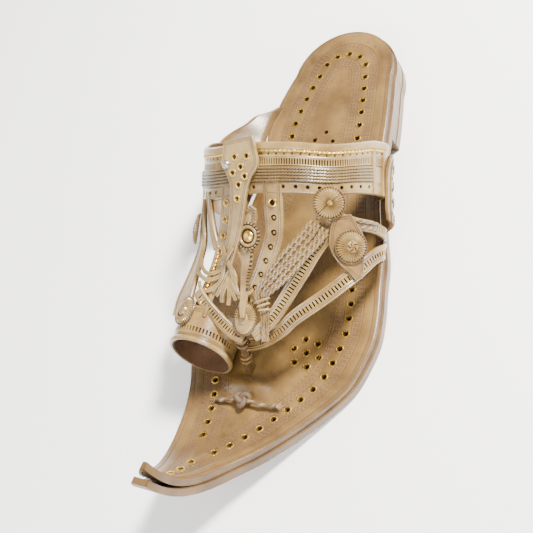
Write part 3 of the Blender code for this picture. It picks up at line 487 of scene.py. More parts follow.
def rope(path, normals, radius, cell=0.5, sides=10, ply=2, pitch=3.2, pinch=0.62):
    """A cord along a path. With ply 0 it is smooth, else its strands turn once in `pitch` and the valleys between them
    get painted shade.
    """
    path, normals = np.asarray(path, float), np.asarray(normals, float)
    step = np.linalg.norm(np.diff(path, axis=0), axis=1)
    run = np.concatenate([[0], np.cumsum(step)])
    made = sheet(run[-1], 1.0, cell, 1.0 / sides)
    at = lambda x, values: np.stack([np.interp(x, run, values[:, i]) for i in range(3)], -1)
    ahead = unit(np.gradient(path, axis=0))
    up = unit(normals - ahead * (normals * ahead).sum(-1, keepdims=True))
    side = np.cross(up, ahead)
    x = np.array([v.co.x for v in made.verts])
    angle = np.array([v.co.y for v in made.verts]) * 2 * np.pi
    thick = np.interp(x, run, np.broadcast_to(radius, run.shape))
    reach = np.ones_like(x)
    if ply:
        reach = np.maximum(np.abs(np.cos((angle + 2 * np.pi * x / pitch) * ply / 2)), pinch)
    points = at(x, path) + (thick * reach)[:, None] * (
        at(x, side) * np.cos(angle)[:, None] + at(x, up) * np.sin(angle)[:, None]
    )
    shade = made.verts.layers.float.new("painted_shade_and_dark_lines")
    for v, point, r in zip(made.verts, points, reach):
        v.co = point
        # painted shade in the valleys between the strands
        v[shade] = 0.0 if not ply else float(np.clip((0.85 - r) / (0.85 - pinch), 0, 1)) * 0.8
    bmesh.ops.remove_doubles(made, verts=made.verts, dist=0.01)
    bmesh.ops.holes_fill(made, edges=[e for e in made.edges if e.is_boundary], sides=0)
    return made


def joined(parts):
    """One bmesh from several, keeping their tone."""
    made = bmesh.new()
    for part in parts:
        mesh = bpy.data.meshes.new("part")
        part.to_mesh(mesh)
        part.free()
        made.from_mesh(mesh)
        bpy.data.meshes.remove(mesh)
    return made


def ridge(value, middle, half):
    """1 on a line, falling to 0 at `half` from it."""
    return np.clip(1 - ((value - middle) / half) ** 2, 0, 1)


def step_up(value, start, run):
    share = np.clip((value - start) / run, 0, 1)
    return share * share * (3 - 2 * share)


# Finishes

def add(tree, kind, **inputs):
    node = tree.nodes.new(kind)
    for name, value in inputs.items():
        socket = node.inputs[name.replace("_", " ")]
        if isinstance(value, bpy.types.NodeSocket):
            tree.links.new(value, socket)
        else:
            socket.default_value = value
    return node


def rgb(colour):
    return (*colour, 1.0)


def blended(tree, share, a, b):
    """Colours a and b mixed by a share, each a colour or a socket."""
    node = tree.nodes.new("ShaderNodeMix")
    node.data_type = "RGBA"
    for socket, value in ((node.inputs[0], share), (node.inputs[6], a), (node.inputs[7], b)):
        if isinstance(value, bpy.types.NodeSocket):
            tree.links.new(value, socket)
        else:
            socket.default_value = value if isinstance(value, float) else rgb(value)
    return node.outputs[2]


def ramp(tree, value, low, high, out_low=0.0, out_high=1.0):
    node = add(tree, "ShaderNodeMapRange", Value=value)
    for i, number in enumerate((low, high, out_low, out_high)):
        node.inputs[i + 1].default_value = number
    return node.outputs[0]


def noise(tree, scale, detail=3.0, rough=0.55, stretch=None):
    coords = tree.nodes.new("ShaderNodeTexCoord").outputs["Object"]
    if stretch:
        coords = add(tree, "ShaderNodeMapping", Vector=coords, Scale=stretch).outputs[0]
    return add(
        tree, "ShaderNodeTexNoise", Vector=coords, Scale=scale, Detail=detail, Roughness=rough
    ).outputs["Fac"]


def base(name, rough, metal=0.0, coat=0.0, coat_rough=0.25, sheen=0.0, specular=0.5):
    made = bpy.data.materials.new(name)
    made.use_nodes = True
    shader = made.node_tree.nodes["Principled BSDF"]
    for socket, value in (
        ("Roughness", rough), ("Metallic", metal), ("Coat Weight", coat), ("Coat Roughness", coat_rough),
        ("Sheen Weight", sheen), ("Specular IOR Level", specular),
    ):
        shader.inputs[socket].default_value = value
    return made, made.node_tree, shader


def leather(name, pale, deep, dark, rough=0.45, coat=0.25, grain=0.35, patch=70.0, sheen=0.0):
    """Tanned leather: patches of two shades, fine grain and pores. The tone attribute mixes in `dark`: painted shade in
    grooves, hollows, strand valleys and linings, and a few dark lines of the leather's own.
    """
    made, tree, shader = base(name, rough, coat=coat, coat_rough=0.3, sheen=sheen)
    patches = ramp(tree, noise(tree, patch, 4.0, 0.6), 0.32, 0.68)
    pores = noise(tree, 1400.0, 2.0, 0.6)
    colour = blended(tree, patches, deep, pale)
    mottled = blended(tree, ramp(tree, pores, 0.35, 0.75, 0.0, 0.28), colour, tuple(0.72 * c for c in deep))
    # Painted shade: this attribute pulls the colour towards `dark` where grooves, hollows and linings lie in shade
    painted_shade_and_dark_lines = add(tree, "ShaderNodeAttribute")
    painted_shade_and_dark_lines.attribute_name = "painted_shade_and_dark_lines"
    shown = blended(tree, painted_shade_and_dark_lines.outputs["Fac"], mottled, dark)
    tree.links.new(shown, shader.inputs["Base Color"])
    tree.links.new(ramp(tree, pores, 0.3, 0.7, rough - 0.08, rough + 0.12), shader.inputs["Roughness"])
    bump = add(tree, "ShaderNodeBump", Strength=grain, Distance=0.0003, Height=pores)
    wrinkle = add(
        tree, "ShaderNodeBump", Strength=grain * 0.6, Distance=0.0006, Height=noise(tree, 260.0, 3.0),
        Normal=bump.outputs[0],
    )
    tree.links.new(wrinkle.outputs[0], shader.inputs["Normal"])
    return made


def metal(name, pale, deep, rough):
    """Aged metal: two shades by noise and a little uneven gloss."""
    made, tree, shader = base(name, rough, metal=1.0)
    patches = ramp(tree, noise(tree, 300.0, 4.0), 0.35, 0.7)
    tree.links.new(blended(tree, patches, pale, deep), shader.inputs["Base Color"])
    tree.links.new(ramp(tree, noise(tree, 900.0), 0.3, 0.7, rough - 0.06, rough + 0.14), shader.inputs["Roughness"])
    bump = add(tree, "ShaderNodeBump", Strength=0.2, Distance=0.0002, Height=noise(tree, 1200.0))
    tree.links.new(bump.outputs[0], shader.inputs["Normal"])
    return made


# The colour at full darkening: painted shade in grooves, hollows and linings, and a few dark lines
SHADE_AND_LINE_DARK = (0.04, 0.017, 0.005)
PALE_STRAP = leather("polished_strap_leather", (0.36, 0.24, 0.085), (0.17, 0.09, 0.021), SHADE_AND_LINE_DARK, 0.24, 0.6, 0.25)
BAND_LEATHER = leather("band_leather", (0.36, 0.243, 0.088), (0.18, 0.1, 0.025), SHADE_AND_LINE_DARK, 0.28, 0.5, 0.28)
# Linings under the band, straps and toe ring are drawn near black: painted shade seen through their slots and holes
PAINTED_SHADE_LINING = leather("lining_painted_shade", (0.15, 0.07, 0.022), (0.09, 0.038, 0.012), (0.02, 0.008, 0.003), 0.85, 0.0, 0.6)
INSOLE_LEATHER = leather("insole_leather", (0.225, 0.132, 0.039), (0.08, 0.04, 0.01), SHADE_AND_LINE_DARK, 0.3, 0.5, 0.35, 38.0)
STAMP_LEATHER = leather("stamped_leather", (0.13, 0.062, 0.018), (0.08, 0.036, 0.01), SHADE_AND_LINE_DARK, 0.6, 0.0, 0.3)
SOLE_LEATHER = leather("sole_leather", (0.18, 0.096, 0.031), (0.085, 0.04, 0.011), (0.04, 0.018, 0.006), 0.5, 0.2, 0.4)
EDGE_LEATHER = leather("cut_edge_leather", (0.2, 0.112, 0.035), (0.09, 0.044, 0.012), (0.04, 0.017, 0.005), 0.38, 0.4)
TRIM_EDGE = leather("trimmed_edge", (0.11, 0.055, 0.017), (0.055, 0.025, 0.007), SHADE_AND_LINE_DARK, 0.5, 0.15)
FLAP_LEATHER = leather("flap_leather", (0.27, 0.162, 0.052), (0.125, 0.063, 0.016), SHADE_AND_LINE_DARK, 0.3, 0.5, 0.3)
WAXED_CORD = leather("waxed_cord", (0.42, 0.29, 0.122), (0.21, 0.12, 0.037), (0.07, 0.03, 0.009), 0.3, 0.5, 0.3, 120.0)
RAW_LEATHER = leather("raw_leather", (0.3, 0.205, 0.11), (0.14, 0.083, 0.037), (0.06, 0.03, 0.012), 0.7, 0.05, 0.8, 160.0)
# Near black for discs at holes that are not cut, hollows and gaps: painted shade; on the tulip also its dark edge
SHADE_AND_DARK_EDGE = leather("painted_shade_and_dark_edge", (0.035, 0.016, 0.006), (0.02, 0.009, 0.003), (0.02, 0.01, 0.005), 0.8, 0.0, 0.2)
BRASS = metal("eyelet_brass", (0.95, 0.66, 0.16), (0.72, 0.42, 0.07), 0.26)
STEEL = metal("rivet_steel", (0.62, 0.60, 0.56), (0.40, 0.38, 0.35), 0.3)
ZARI = metal("zari_thread", (1.0, 0.72, 0.15), (0.85, 0.52, 0.07), 0.38)


# Sole layers

def heel_start(share, rear):
    """The distance from the heel where the outline lies at this share across, -1 to 1."""
    return HEEL_ROUND - (HEEL_ROUND - rear) * np.sqrt(np.clip(1 - share**2, 0, 1))


def outline(rear, front, step_out):
    """The outline of a sole layer, from the toe down the outer side, round the heel and up to the toe."""
    side = np.linspace(front, HEEL_ROUND, 500)
    turn = np.linspace(1, -1, 160)[1:-1]
    middle, half = (edge(HEEL_ROUND, 1) + edge(HEEL_ROUND, 2)) / 2, (edge(HEEL_ROUND, 1) - edge(HEEL_ROUND, 2)) / 2
    back = HEEL_ROUND - (HEEL_ROUND - rear) * np.cos(turn * np.pi / 2)
    heel = np.concatenate([side, back, side[::-1]])
    across = np.concatenate([
        edge(side, 1) + step_out, middle + (half + step_out) * np.sin(turn * np.pi / 2), edge(side[::-1], 2) - step_out,
    ])
    heel, across = np.append(heel, front), np.append(across, across[0])
    step = np.hypot(np.diff(heel), np.diff(across))
    run = np.concatenate([[0], np.cumsum(step)])
    forward = np.stack([np.gradient(heel), np.gradient(across)], -1)
    out = unit(np.stack([-forward[:, 1], forward[:, 0]], -1))
    return run, heel, across, out


def sole_sheet(rear, front, step_out, cells_long, cells_wide):
    """The flat sheet of a sole layer, its cells fanned round the heel."""
    made = sheet(1.0, 2.0, 1.0 / cells_long, 2.0 / cells_wide)
    x = np.array([v.co.x for v in made.verts])
    share = np.sin(np.array([v.co.y for v in made.verts]) * np.pi / 2)
    start = heel_start(share, rear)
    heel = start + (front - start) * x
    outer = edge(np.maximum(heel, HEEL_ROUND), 1) + step_out
    inner = edge(np.maximum(heel, HEEL_ROUND), 2) - step_out
    for v, a, b in zip(made.verts, heel, (outer + inner) / 2 + share * (outer - inner) / 2):
        v.co = (a, b, 0)
    return made


def thinned(heel, top, bottom):
    return bottom + (top - bottom) * TIP_THIN * np.clip(heel - TIP_THIN_START, 0, 80) / 80


def sole_layer(node, rear, front, top, bottom, step_out, finish, cells=(170, 30)):
    """A layer of the sole and its wall of burnished plies."""
    made = sole_sheet(rear, front, step_out - 0.3, *cells)
    flat_tone = lambda x, y: (np.full_like(x, top), np.zeros_like(x))
    walled(made, lambda x, y, lift: seat(x, y, lift), flat_tone, lambda x, y: thinned(x, top, bottom))
    dress(node + "_body", made, finish, node)
    edge_wall(node, rear, front, top, bottom, step_out)


def edge_wall(node, rear, front, top, bottom, step_out, finish=None, raised=None):
    """The burnished wall of a sole layer, its plies parted by fine lines."""
    run, heel, across, out = outline(rear, front, step_out - 0.35)
    thick = top - bottom
    made = sheet(run[-1], 1.0, 1.3, 1.0 / 14)

    def place(x, y, lift):
        h, a = np.interp(x, run, heel), np.interp(x, run, across)
        nh, na = np.interp(x, run, out[:, 0]), np.interp(x, run, out[:, 1])
        low = thinned(h, top, bottom)
        return seat(h + nh * lift, a + na * lift, low + (top - low) * (y + 0.5) + (raised(h, a) if raised else 0.0))

    def top_of(x, y):
        share = y + 0.5
        line = sum(ridge(share, middle, 0.07) for middle in (0.27, 0.52, 0.76))
        round_off = 0.35 * np.clip(np.abs(y) * 2, 0, 1) ** 6
        uneven = 0.06 * np.sin(x * 1.7 + 3 * np.sin(share * 9)) + 0.05 * np.sin(x * 0.61 + share * 4)
        # the lines between plies are darkened, partly as their joints and partly as painted shade in their grooves;
        # darker too at the rounded top and bottom
        return 0.36 - round_off - 0.16 * line + uneven * 0.5, 0.85 * line + 0.25 * np.clip(np.abs(y) * 2, 0, 1) ** 8

    walled(made, place, top_of, -0.3)
    bmesh.ops.remove_doubles(made, verts=made.verts, dist=0.002)
    return dress(node + "_edge", made, finish or EDGE_LEATHER, node)


def stitched_inset(distance, column, first, final, pitch):
    """Places at an even pitch inside one edge: heel distance, across, and the way along the edge."""
    sign = 1 if column == 1 else -1
    heel = np.linspace(first, final, 800)
    across = edge(heel, column) - sign * distance
    run = np.concatenate([[0], np.cumsum(np.hypot(np.diff(heel), np.diff(across)))])
    at = np.arange(0, run[-1], pitch)
    h, x = np.interp(at, run, heel), np.interp(at, run, across)
    return h, x, np.interp(at, run, np.gradient(across, heel))


def on_seat(heel, x, lift=0.0, slope=0.0):
    """The matrix of a small thing on the insole, its x axis along the shoe."""
    point = seat(heel, x, lift + tip_gap(heel) + hump(heel, x))
    ahead = seat(heel + 1, x + slope, 0.0) - seat(heel - 1, x - slope, 0.0)
    across = seat(heel, x + 1.0, hump(heel, x + 1.0)) - seat(heel, x - 1.0, hump(heel, x - 1.0))
    return stand(point, np.cross(ahead, across), ahead)


def heel_row(distance, count, reach=60.0):
    """Places on the round of the heel, at this distance inside its edge."""
    middle, half = (edge(HEEL_ROUND, 1) + edge(HEEL_ROUND, 2)) / 2, (edge(HEEL_ROUND, 1) - edge(HEEL_ROUND, 2)) / 2
    turn = np.radians(np.linspace(-reach, reach, count))
    return HEEL_ROUND - (HEEL_ROUND - distance) * np.cos(turn), middle + (half - distance) * np.sin(turn)


def eyelet_places():
    """Every eyelet of the insole as heel distance and across, as in the model."""
    found = []
    for column, first, final in ((1, 34.0, 96.0), (2, 34.0, 96.0), (1, 160.0, 281.0), (2, 226.0, 276.0)):
        sign = 1 if column == 1 else -1
        heel, run, before = first, EYELET_PITCH, None
        while heel < final:
            here = np.array([float(edge(heel, column)) - sign * EYELET_INSET, heel])
            if before is not None:
                run += np.linalg.norm(here - before)
            if run >= EYELET_PITCH:
                found.append((heel, here[0]))
                run = 0.0
            before = here
            heel += 0.5
    found += list(zip(*heel_row(EYELET_INSET, 5)))
    found += [(heel, float(edge(heel, 1) + edge(heel, 2)) / 2) for heel in (288.0, 296.0, 304.0)]
    found.append((FLOWER_HEEL, FLOWER_X))
    for k in range(6):
        a = math.radians(60 * k + 20)
        found.append((FLOWER_HEEL + FLOWER_RADIUS * math.cos(a), FLOWER_X + FLOWER_RADIUS * math.sin(a)))
    return found


HEEL_VENTS = ((80.0, -8.0), (85.0, -2.0), (80.0, 4.0), (74.0, -2.0))


def insole():
    eyelets = eyelet_places()
    made = sole_sheet(0.0, LENGTH, -0.3, 270, 84)
    holes = [(h, x, EYELET_RADIUS, EYELET_RADIUS, ROUND) for h, x in eyelets]
    holes += [(h, x, 1.4, 1.4, ROUND) for h, x in HEEL_VENTS]
    pierce(made, holes)

    def relief(x, y):
        outer, inner = edge(x, 1) - y, y - edge(x, 2)
        near = np.minimum(np.minimum(outer, inner), x * 1.2)
        round_off = 0.5 * np.clip(1 - near / 1.6, 0, 1) ** 2
        padded = 0.25 * ridge(near, 6.0, 2.6) + 0.2 * ridge(near, 17.0, 2.8)
        # darker within 2 mm of the rounded edge
        return tip_gap(x) + hump(x, y) - round_off + padded, 0.3 * np.clip(1 - near / 2.0, 0, 1)

    walled(made, lambda x, y, lift: seat(x, y, lift), relief, lambda x, y: tip_gap(x) - INSOLE_THICK + 0.02 * y * 0)
    dress("insole_leather", made, INSOLE_LEATHER, "insole")

    def wall_lift(h, a):
        return tip_gap(h) + hump(h, a)

    run, heel, across, out = outline(0.0, LENGTH, -0.35)
    wall = sheet(run[-1], 1.0, 1.3, 1.0 / 12)

    def place(x, y, lift):
        h, a = np.interp(x, run, heel), np.interp(x, run, across)
        nh, na = np.interp(x, run, out[:, 0]), np.interp(x, run, out[:, 1])
        return seat(h + nh * lift, a + na * lift, tip_gap(h) - INSOLE_THICK * (0.5 - y) - 0.12)

    def top_of(x, y):
        line = ridge(y, 0.14, 0.07) + ridge(y, -0.2, 0.06)
        round_off = 0.4 * np.clip(np.abs(y) * 2, 0, 1) ** 5
        # painted shade in the two grooves along the wall
        return 0.36 - round_off - 0.14 * line, 0.75 * line

    walled(wall, place, top_of, -0.3)
    bmesh.ops.remove_doubles(wall, verts=wall.verts, dist=0.002)
    dress("insole_edge", wall, EDGE_LEATHER, "insole")
    rims = [on_seat(h, x, 0.12) for h, x in eyelets]
    copies("insole_eyelets", hoop(EYELET_RADIUS + 0.42, 0.5, 20, 8, 0.85), rims, BRASS)
    stamped_rows()


# Rows stamped all round the insole, as distances inside its edge
CREASES = (3.2, 8.8, 14.4, 20.2, 26.0)
RING_ROWS = (10.6, 12.6, 21.9, 23.9)
STAR_ROW, DOT_ROW = 6.0, 27.6
RING_STAMP_PITCH, STAR_PITCH, DOT_PITCH = 2.7, 6.4, 2.6
TOE_CLEAR = 2.5


def inset_places(distance, pitch):
    """Places at an even pitch along the outline, this far inside it, as heel distance and across."""
    run, heel, across, _ = outline(distance, LENGTH - 8.0, -distance)
    room = edge(heel, 1) - edge(heel, 2) - 2 * distance
    at = np.arange(pitch / 2, run[-1], pitch)
    at = at[np.interp(at, run, room) > TOE_CLEAR]
    at = at[np.interp(at, run, heel) < LENGTH - 9.0]
    return np.interp(at, run, heel), np.interp(at, run, across)


def stamped_rows():
    for k, distance in enumerate(CREASES):
        heel, across = inset_places(distance, 1.6)
        points = seat(heel, across, tip_gap(heel) + hump(heel, across) - 0.02)
        gaps = np.linalg.norm(np.diff(points, axis=0), axis=1)
        breaks = [0, *(np.nonzero(gaps > 6)[0] + 1), len(points)]
        lines = [points[a:b] for a, b in zip(breaks, breaks[1:]) if b - a > 2]
        # the creases are thin dark strips: the tooled lines' darker colour together with the painted shade of their
        # grooves
        made = joined([rope(line, np.tile((0.0, 0.0, 1.0), (len(line), 1)), 0.2, 1.6, 5, 0) for line in lines])
        piece(f"insole_crease_{k}", made, STAMP_LEATHER)
    rings = [on_seat(h, x, 0.03) for row in RING_ROWS for h, x in zip(*inset_places(row, RING_STAMP_PITCH))]
    copies("insole_ring_stamps", hoop(0.72, 0.24, 8, 4, 0.6), rings, STAMP_LEATHER)
    star = turned(((0, 0.12), (0.45, 0.08), (1.0, 0.0), (0, 0.0)), 10)
    for v in star.verts:
        if math.hypot(v.co.x, v.co.y) > 0.8 and round(math.atan2(v.co.y, v.co.x) / (math.pi / 5)) % 2:
            v.co.x *= 0.45
            v.co.y *= 0.45
    stars = [on_seat(h, x, 0.02) for h, x in zip(*inset_places(STAR_ROW, STAR_PITCH))]
    copies("insole_star_stamps", star, stars, STAMP_LEATHER)
    dot = turned(((0, 0.1), (0.4, 0.08), (0.5, 0.0), (0, 0.0)), 6)
    dots = [on_seat(h, x, 0.02) for h, x in zip(*inset_places(DOT_ROW, DOT_PITCH))]
    copies("insole_dot_stamps", dot, dots, STAMP_LEATHER)


def sole():
    sole_layer("outsole", -1.4, LENGTH - 3.0, -INSOLE_THICK - LAYER_GAP, -SEAT, 1.4, SOLE_LEATHER)
    lift_thick, lift_top = (HEEL_RISE - 2 * GAP) / 2, -SEAT - GAP
    for node, step_out in (("heel_lift_upper", 1.2), ("heel_lift_lower", 1.6)):
        heel_lift(node, step_out, lift_top, lift_top - lift_thick)
        lift_top -= lift_thick + GAP


def heel_lift(node, step_out, top, bottom):
    made = sole_sheet(-step_out, LIFT_LENGTH, step_out - 0.3, 40, 30)
    flat_tone = lambda x, y: (np.full_like(x, top), np.zeros_like(x))
    walled(made, lambda x, y, lift: seat(x, y, lift), flat_tone, bottom)
    dress(node + "_body", made, SOLE_LEATHER, node)
    edge_wall(node, -step_out, LIFT_LENGTH, top, bottom, step_out)


# Instep band

BAND_WIDE = 26.0
RIM_END, CORD_START, CORD_END = 0.16, 0.48, 0.77
BAND_HOLES, BAND_FIRST, BAND_FINAL = 20, 26.0, 150.0
LADDER_PITCH = 1.36


class Band:
    """The band's own places: x along its middle in millimetres, y across from the rear edge."""

    def __init__(self):
        self.turn = np.linspace(2, 178, 700)
        middle = last(self.turn, (smooth(BAND, self.turn, 1) + smooth(BAND, self.turn, 2)) / 2)
        self.run = np.concatenate([[0], np.cumsum(np.linalg.norm(np.diff(middle, axis=0), axis=1))])
        self.long = self.run[-1]

    def x_of(self, turn):
        return np.interp(turn, self.turn, self.run)

    def place(self, x, y, lift):
        turn = np.interp(x, self.run, self.turn)
        rear, front = smooth(BAND, turn, 1), smooth(BAND, turn, 2)
        return last(turn, rear + (front - rear) * (y / BAND_WIDE + 0.5), lift)

    def spot(self, x, y, lift=0.0):
        point, ahead = self.place(x, y, lift), self.place(x + 0.5, y, lift) - self.place(x - 0.5, y, lift)
        turn = np.interp(x, self.run, self.turn)
        rear, front = smooth(BAND, turn, 1), smooth(BAND, turn, 2)
        return stand(point, last_normal(turn, rear + (front - rear) * (y / BAND_WIDE + 0.5)), ahead)


BAND_PATH = Band()


def across_band(share):
    return (share - 0.5) * BAND_WIDE


def band():
    long = BAND_PATH.long
    made = sheet(long, BAND_WIDE, LADDER_PITCH / 4, 0.44)
    cell = long / round(long / (LADDER_PITCH / 4))
    holes = [
        (BAND_PATH.x_of(turn), across_band(0.87), 1.0, 1.0, ROUND)
        for turn in np.linspace(BAND_FIRST, BAND_FINAL, BAND_HOLES)
    ]
    first, final = BAND_PATH.x_of(12), BAND_PATH.x_of(168)
    start = round(first / cell) * cell
    for k in range(int((final - start) / (4 * cell))):
        holes.append((start + (4 * k + 1) * cell, across_band(0.38), cell * 1.01, 1.55, SQUARE))
    pierce(made, holes)

    def relief(x, y):
        share = y / BAND_WIDE + 0.5
        rim = step_up(share, 0.0, 0.035) * (1 - step_up(share, 0.14, 0.03))
        lift = 2.15 + 1.0 * rim * (0.8 + 0.2 * ridge(share, 0.08, 0.08))
        border = ridge(share, 0.455, 0.012) + ridge(share, 0.29, 0.01)
        lift += 0.3 * border + 0.25 * ridge(share, 0.79, 0.012) + 0.3 * ridge(share, 0.97, 0.02)
        lift -= 0.6 * step_up(share, 0.985, 0.015)
        groove = ridge(share, 0.175, 0.015) + ridge(share, 0.475, 0.014) + ridge(share, 0.775, 0.012)
        groove += 0.6 * ridge(share, 0.945, 0.012)
        # the grooves get painted shade
        return lift - 0.15 * groove, np.clip(0.7 * groove, 0, 1)

    walled(made, BAND_PATH.place, relief, 0.9)
    dress("band", made, BAND_LEATHER, "upper")
    lining = sheet(long - 0.6, BAND_WIDE - 0.8, 1.2, 1.6)
    bmesh.ops.translate(lining, verts=lining.verts, vec=(0.3, 0, 0))
    # near-black lining: painted shade behind the band's slots and holes
    walled(lining, BAND_PATH.place, lambda x, y: (np.full_like(x, 0.86), np.ones_like(x)), 0.0)
    dress("band_lining", lining, PAINTED_SHADE_LINING, "upper")
    cord_first, cord_final = BAND_PATH.x_of(24), BAND_PATH.x_of(170)
    xs = np.linspace(cord_first, cord_final, 260)
    for k, share in enumerate(np.linspace(0.51, 0.745, 5)):
        points = BAND_PATH.place(xs, np.full_like(xs, across_band(share)), 2.75)
        turn = np.interp(xs, BAND_PATH.run, BAND_PATH.turn)
        normals = last_normal(turn, smooth(BAND, turn, 1) + BAND_WIDE * share)
        dress(f"band_cord_{k}", rope(points, normals, 0.8, 0.55, 8, 2, 3.4, 0.74), BAND_LEATHER, "upper")
    xs = np.linspace(BAND_PATH.x_of(10), BAND_PATH.x_of(172), 300)
    points = BAND_PATH.place(xs, np.full_like(xs, across_band(0.178)), 2.5)
    turn = np.interp(xs, BAND_PATH.run, BAND_PATH.turn)
    normals = last_normal(turn, smooth(BAND, turn, 1) + 4.0)
    dress("band_zari", rope(points, normals, 0.78, 0.45, 8, 2, 5.0, 0.45), ZARI, "upper")
    for k, (near_end, far_end) in enumerate(((10.5, 14.5), (20.5, 23.0), (167.5, 171.5))):
        low_x, high_x = BAND_PATH.x_of(near_end), BAND_PATH.x_of(far_end)
        binding = sheet(high_x - low_x, 0.84 * BAND_WIDE, 0.5, 0.6)
        bmesh.ops.translate(binding, verts=binding.verts, vec=(low_x, across_band(0.575), 0))

        def bound(x, y, low_x=low_x, high_x=high_x):
            near = np.minimum(x - low_x, high_x - x)
            line = ridge(near, 0.9, 0.35)
            # painted shade in the groove line
            return 3.3 - 0.5 * np.clip(1 - near / 0.7, 0, 1) ** 2 - 0.12 * line, 0.6 * line

        walled(binding, BAND_PATH.place, bound, 2.0)
        dress(f"band_binding_{k}", binding, PALE_STRAP, "upper")
    # dark discs where the pin holes are: painted shade of holes that are not cut
    pins = [
        BAND_PATH.spot(x, across_band(0.235), 2.16) for x in np.arange(first, final, 4.3)
    ]
    copies("band_pinhole_shades", turned(((0, 0.05), (0.55, 0.05), (0.62, 0.0), (0, 0.0)), 8), pins, SHADE_AND_DARK_EDGE)


# Straps of the upper

def strap(name, finish, slots=None, holes=(), over=0.0, borders=2, cell=0.4, lined=True):
    """One strap with raised borders. `slots` are first and final share, pitch and half height."""
    path = Strap(STRAPS[name], over)
    made = sheet(path.long, path.wide, cell, cell)
    cuts = []
    if slots:
        first, final, pitch, half = slots
        cuts += [(x, 0.0, cell * 1.02, half, SQUARE) for x in np.arange(first * path.long, final * path.long, pitch)]
    for share, across, radius in holes:
        x = share * path.long
        grow = path.wide / float(path.at(x, path.width))
        cuts.append((x, across * path.wide, radius, radius * grow, ROUND))
    if cuts:
        pierce(made, cuts)

    def relief(x, y):
        width = path.at(x, path.width)
        near = (path.wide / 2 - np.abs(y)) * width / path.wide
        lift = np.full_like(x, 2.1)
        painted_shade_and_dark_lines = np.zeros_like(x)
        for k in range(borders):
            middle = 0.75 + 1.0 * k
            lift += 0.34 * ridge(near, middle, 0.5)
            # painted shade in the groove inside each raised border
            painted_shade_and_dark_lines += 0.75 * ridge(near, middle + 0.5, 0.28)
        lift -= 0.4 * np.clip(1 - near / 0.45, 0, 1) ** 2
        return lift, painted_shade_and_dark_lines

    walled(made, path.place, relief, 0.8 if lined else 0.0)
    dress(name, made, finish, "upper")
    if lined:
        under = sheet(path.long - 0.4, path.wide - 0.5, 1.5, 1.5)
        bmesh.ops.translate(under, verts=under.verts, vec=(0.2, 0, 0))
        # near-black lining: painted shade behind the strap's slots and holes
        walled(under, path.place, lambda x, y: (np.full_like(x, 0.76), np.ones_like(x)), 0.0)
        dress(name + "_lining", under, PAINTED_SHADE_LINING, "upper")
    return path


def straps():
    outer = [(share, 0.0, 1.7) for share in np.linspace(0.16, 0.84, 8)]
    path = strap("outer_upright", PALE_STRAP, holes=outer, over=0.05, lined=False)
    knobs = [path.spot(share * path.long, 0.0, 0.7) for share in np.linspace(0.16, 0.84, 8)[1:]]
    knob = turned(((0, 1.1), (0.6, 1.0), (0.95, 0.6), (1.05, 0.0), (0, 0)), 12)
    copies("outer_knobs", knob, knobs, PALE_STRAP)
    backing(path, "outer_upright_backing", 0.5)
    rim = [path.spot(0.16 * path.long, 0.0, 2.4)]
    copies("outer_upright_eyelet", hoop(1.95, 0.5, 20, 8), rim, BRASS)
    inner = [(share, 0.0, 1.5) for share in np.linspace(0.18, 0.52, 4)]
    path = strap("inner_upright", PALE_STRAP, holes=inner, over=0.1, lined=False)
    rims = [path.spot(share * path.long, 0.0, 2.4) for share in np.linspace(0.18, 0.52, 4)]
    copies("inner_upright_eyelets", hoop(1.75, 0.45, 20, 8), rims, BRASS)
    beads = [path.spot(x, -0.06 * path.wide, 2.7) for x in np.arange(0.56 * path.long, 0.93 * path.long, 2.5)]
    bead = bmesh.new()
    bmesh.ops.create_icosphere(bead, subdivisions=2, radius=1.2)
    copies("gold_beads", bead, beads, BRASS)
    path = strap("outer_side", PALE_STRAP, slots=(0.6, 0.86, 1.6, 1.5), over=0.2, borders=1)
    xs = np.linspace(0.5, 0.56 * path.long, 80)
    for k, across in enumerate((-0.24, 0.24)):
        points = path.place(xs, np.full_like(xs, across * path.wide), 3.1)
        dress(f"outer_side_cord_{k}", rope(points, path.at(xs, path.normal), 1.25, 0.5, 10, 2, 9.0, 0.8), PALE_STRAP, "upper")
    strap("fold_strap", PALE_STRAP, slots=(0.05, 0.9, 2.0, 1.6), over=0.3)
    strap("long_strap", PALE_STRAP, slots=(0.25, 0.9, 2.0, 1.6), over=0.15)
    strap("ring_strap", PALE_STRAP, slots=(0.1, 0.9, 1.8, 1.4), over=0.1, borders=1)
    strap("inner_side", PALE_STRAP, over=0.0, borders=2)
    strap("inner_cross", PALE_STRAP, over=0.35, borders=1)


def backing(path, name, lift):
    """A near-black strip behind a strap's holes: painted shade seen through them."""
    made = sheet(path.long - 1.0, path.wide * 0.6, 2.0, 2.0)
    bmesh.ops.translate(made, verts=made.verts, vec=(0.5, 0, 0))
    walled(made, path.place, lambda x, y: (np.full_like(x, lift), np.ones_like(x)), 0.1)
    dress(name, made, PAINTED_SHADE_LINING, "upper")


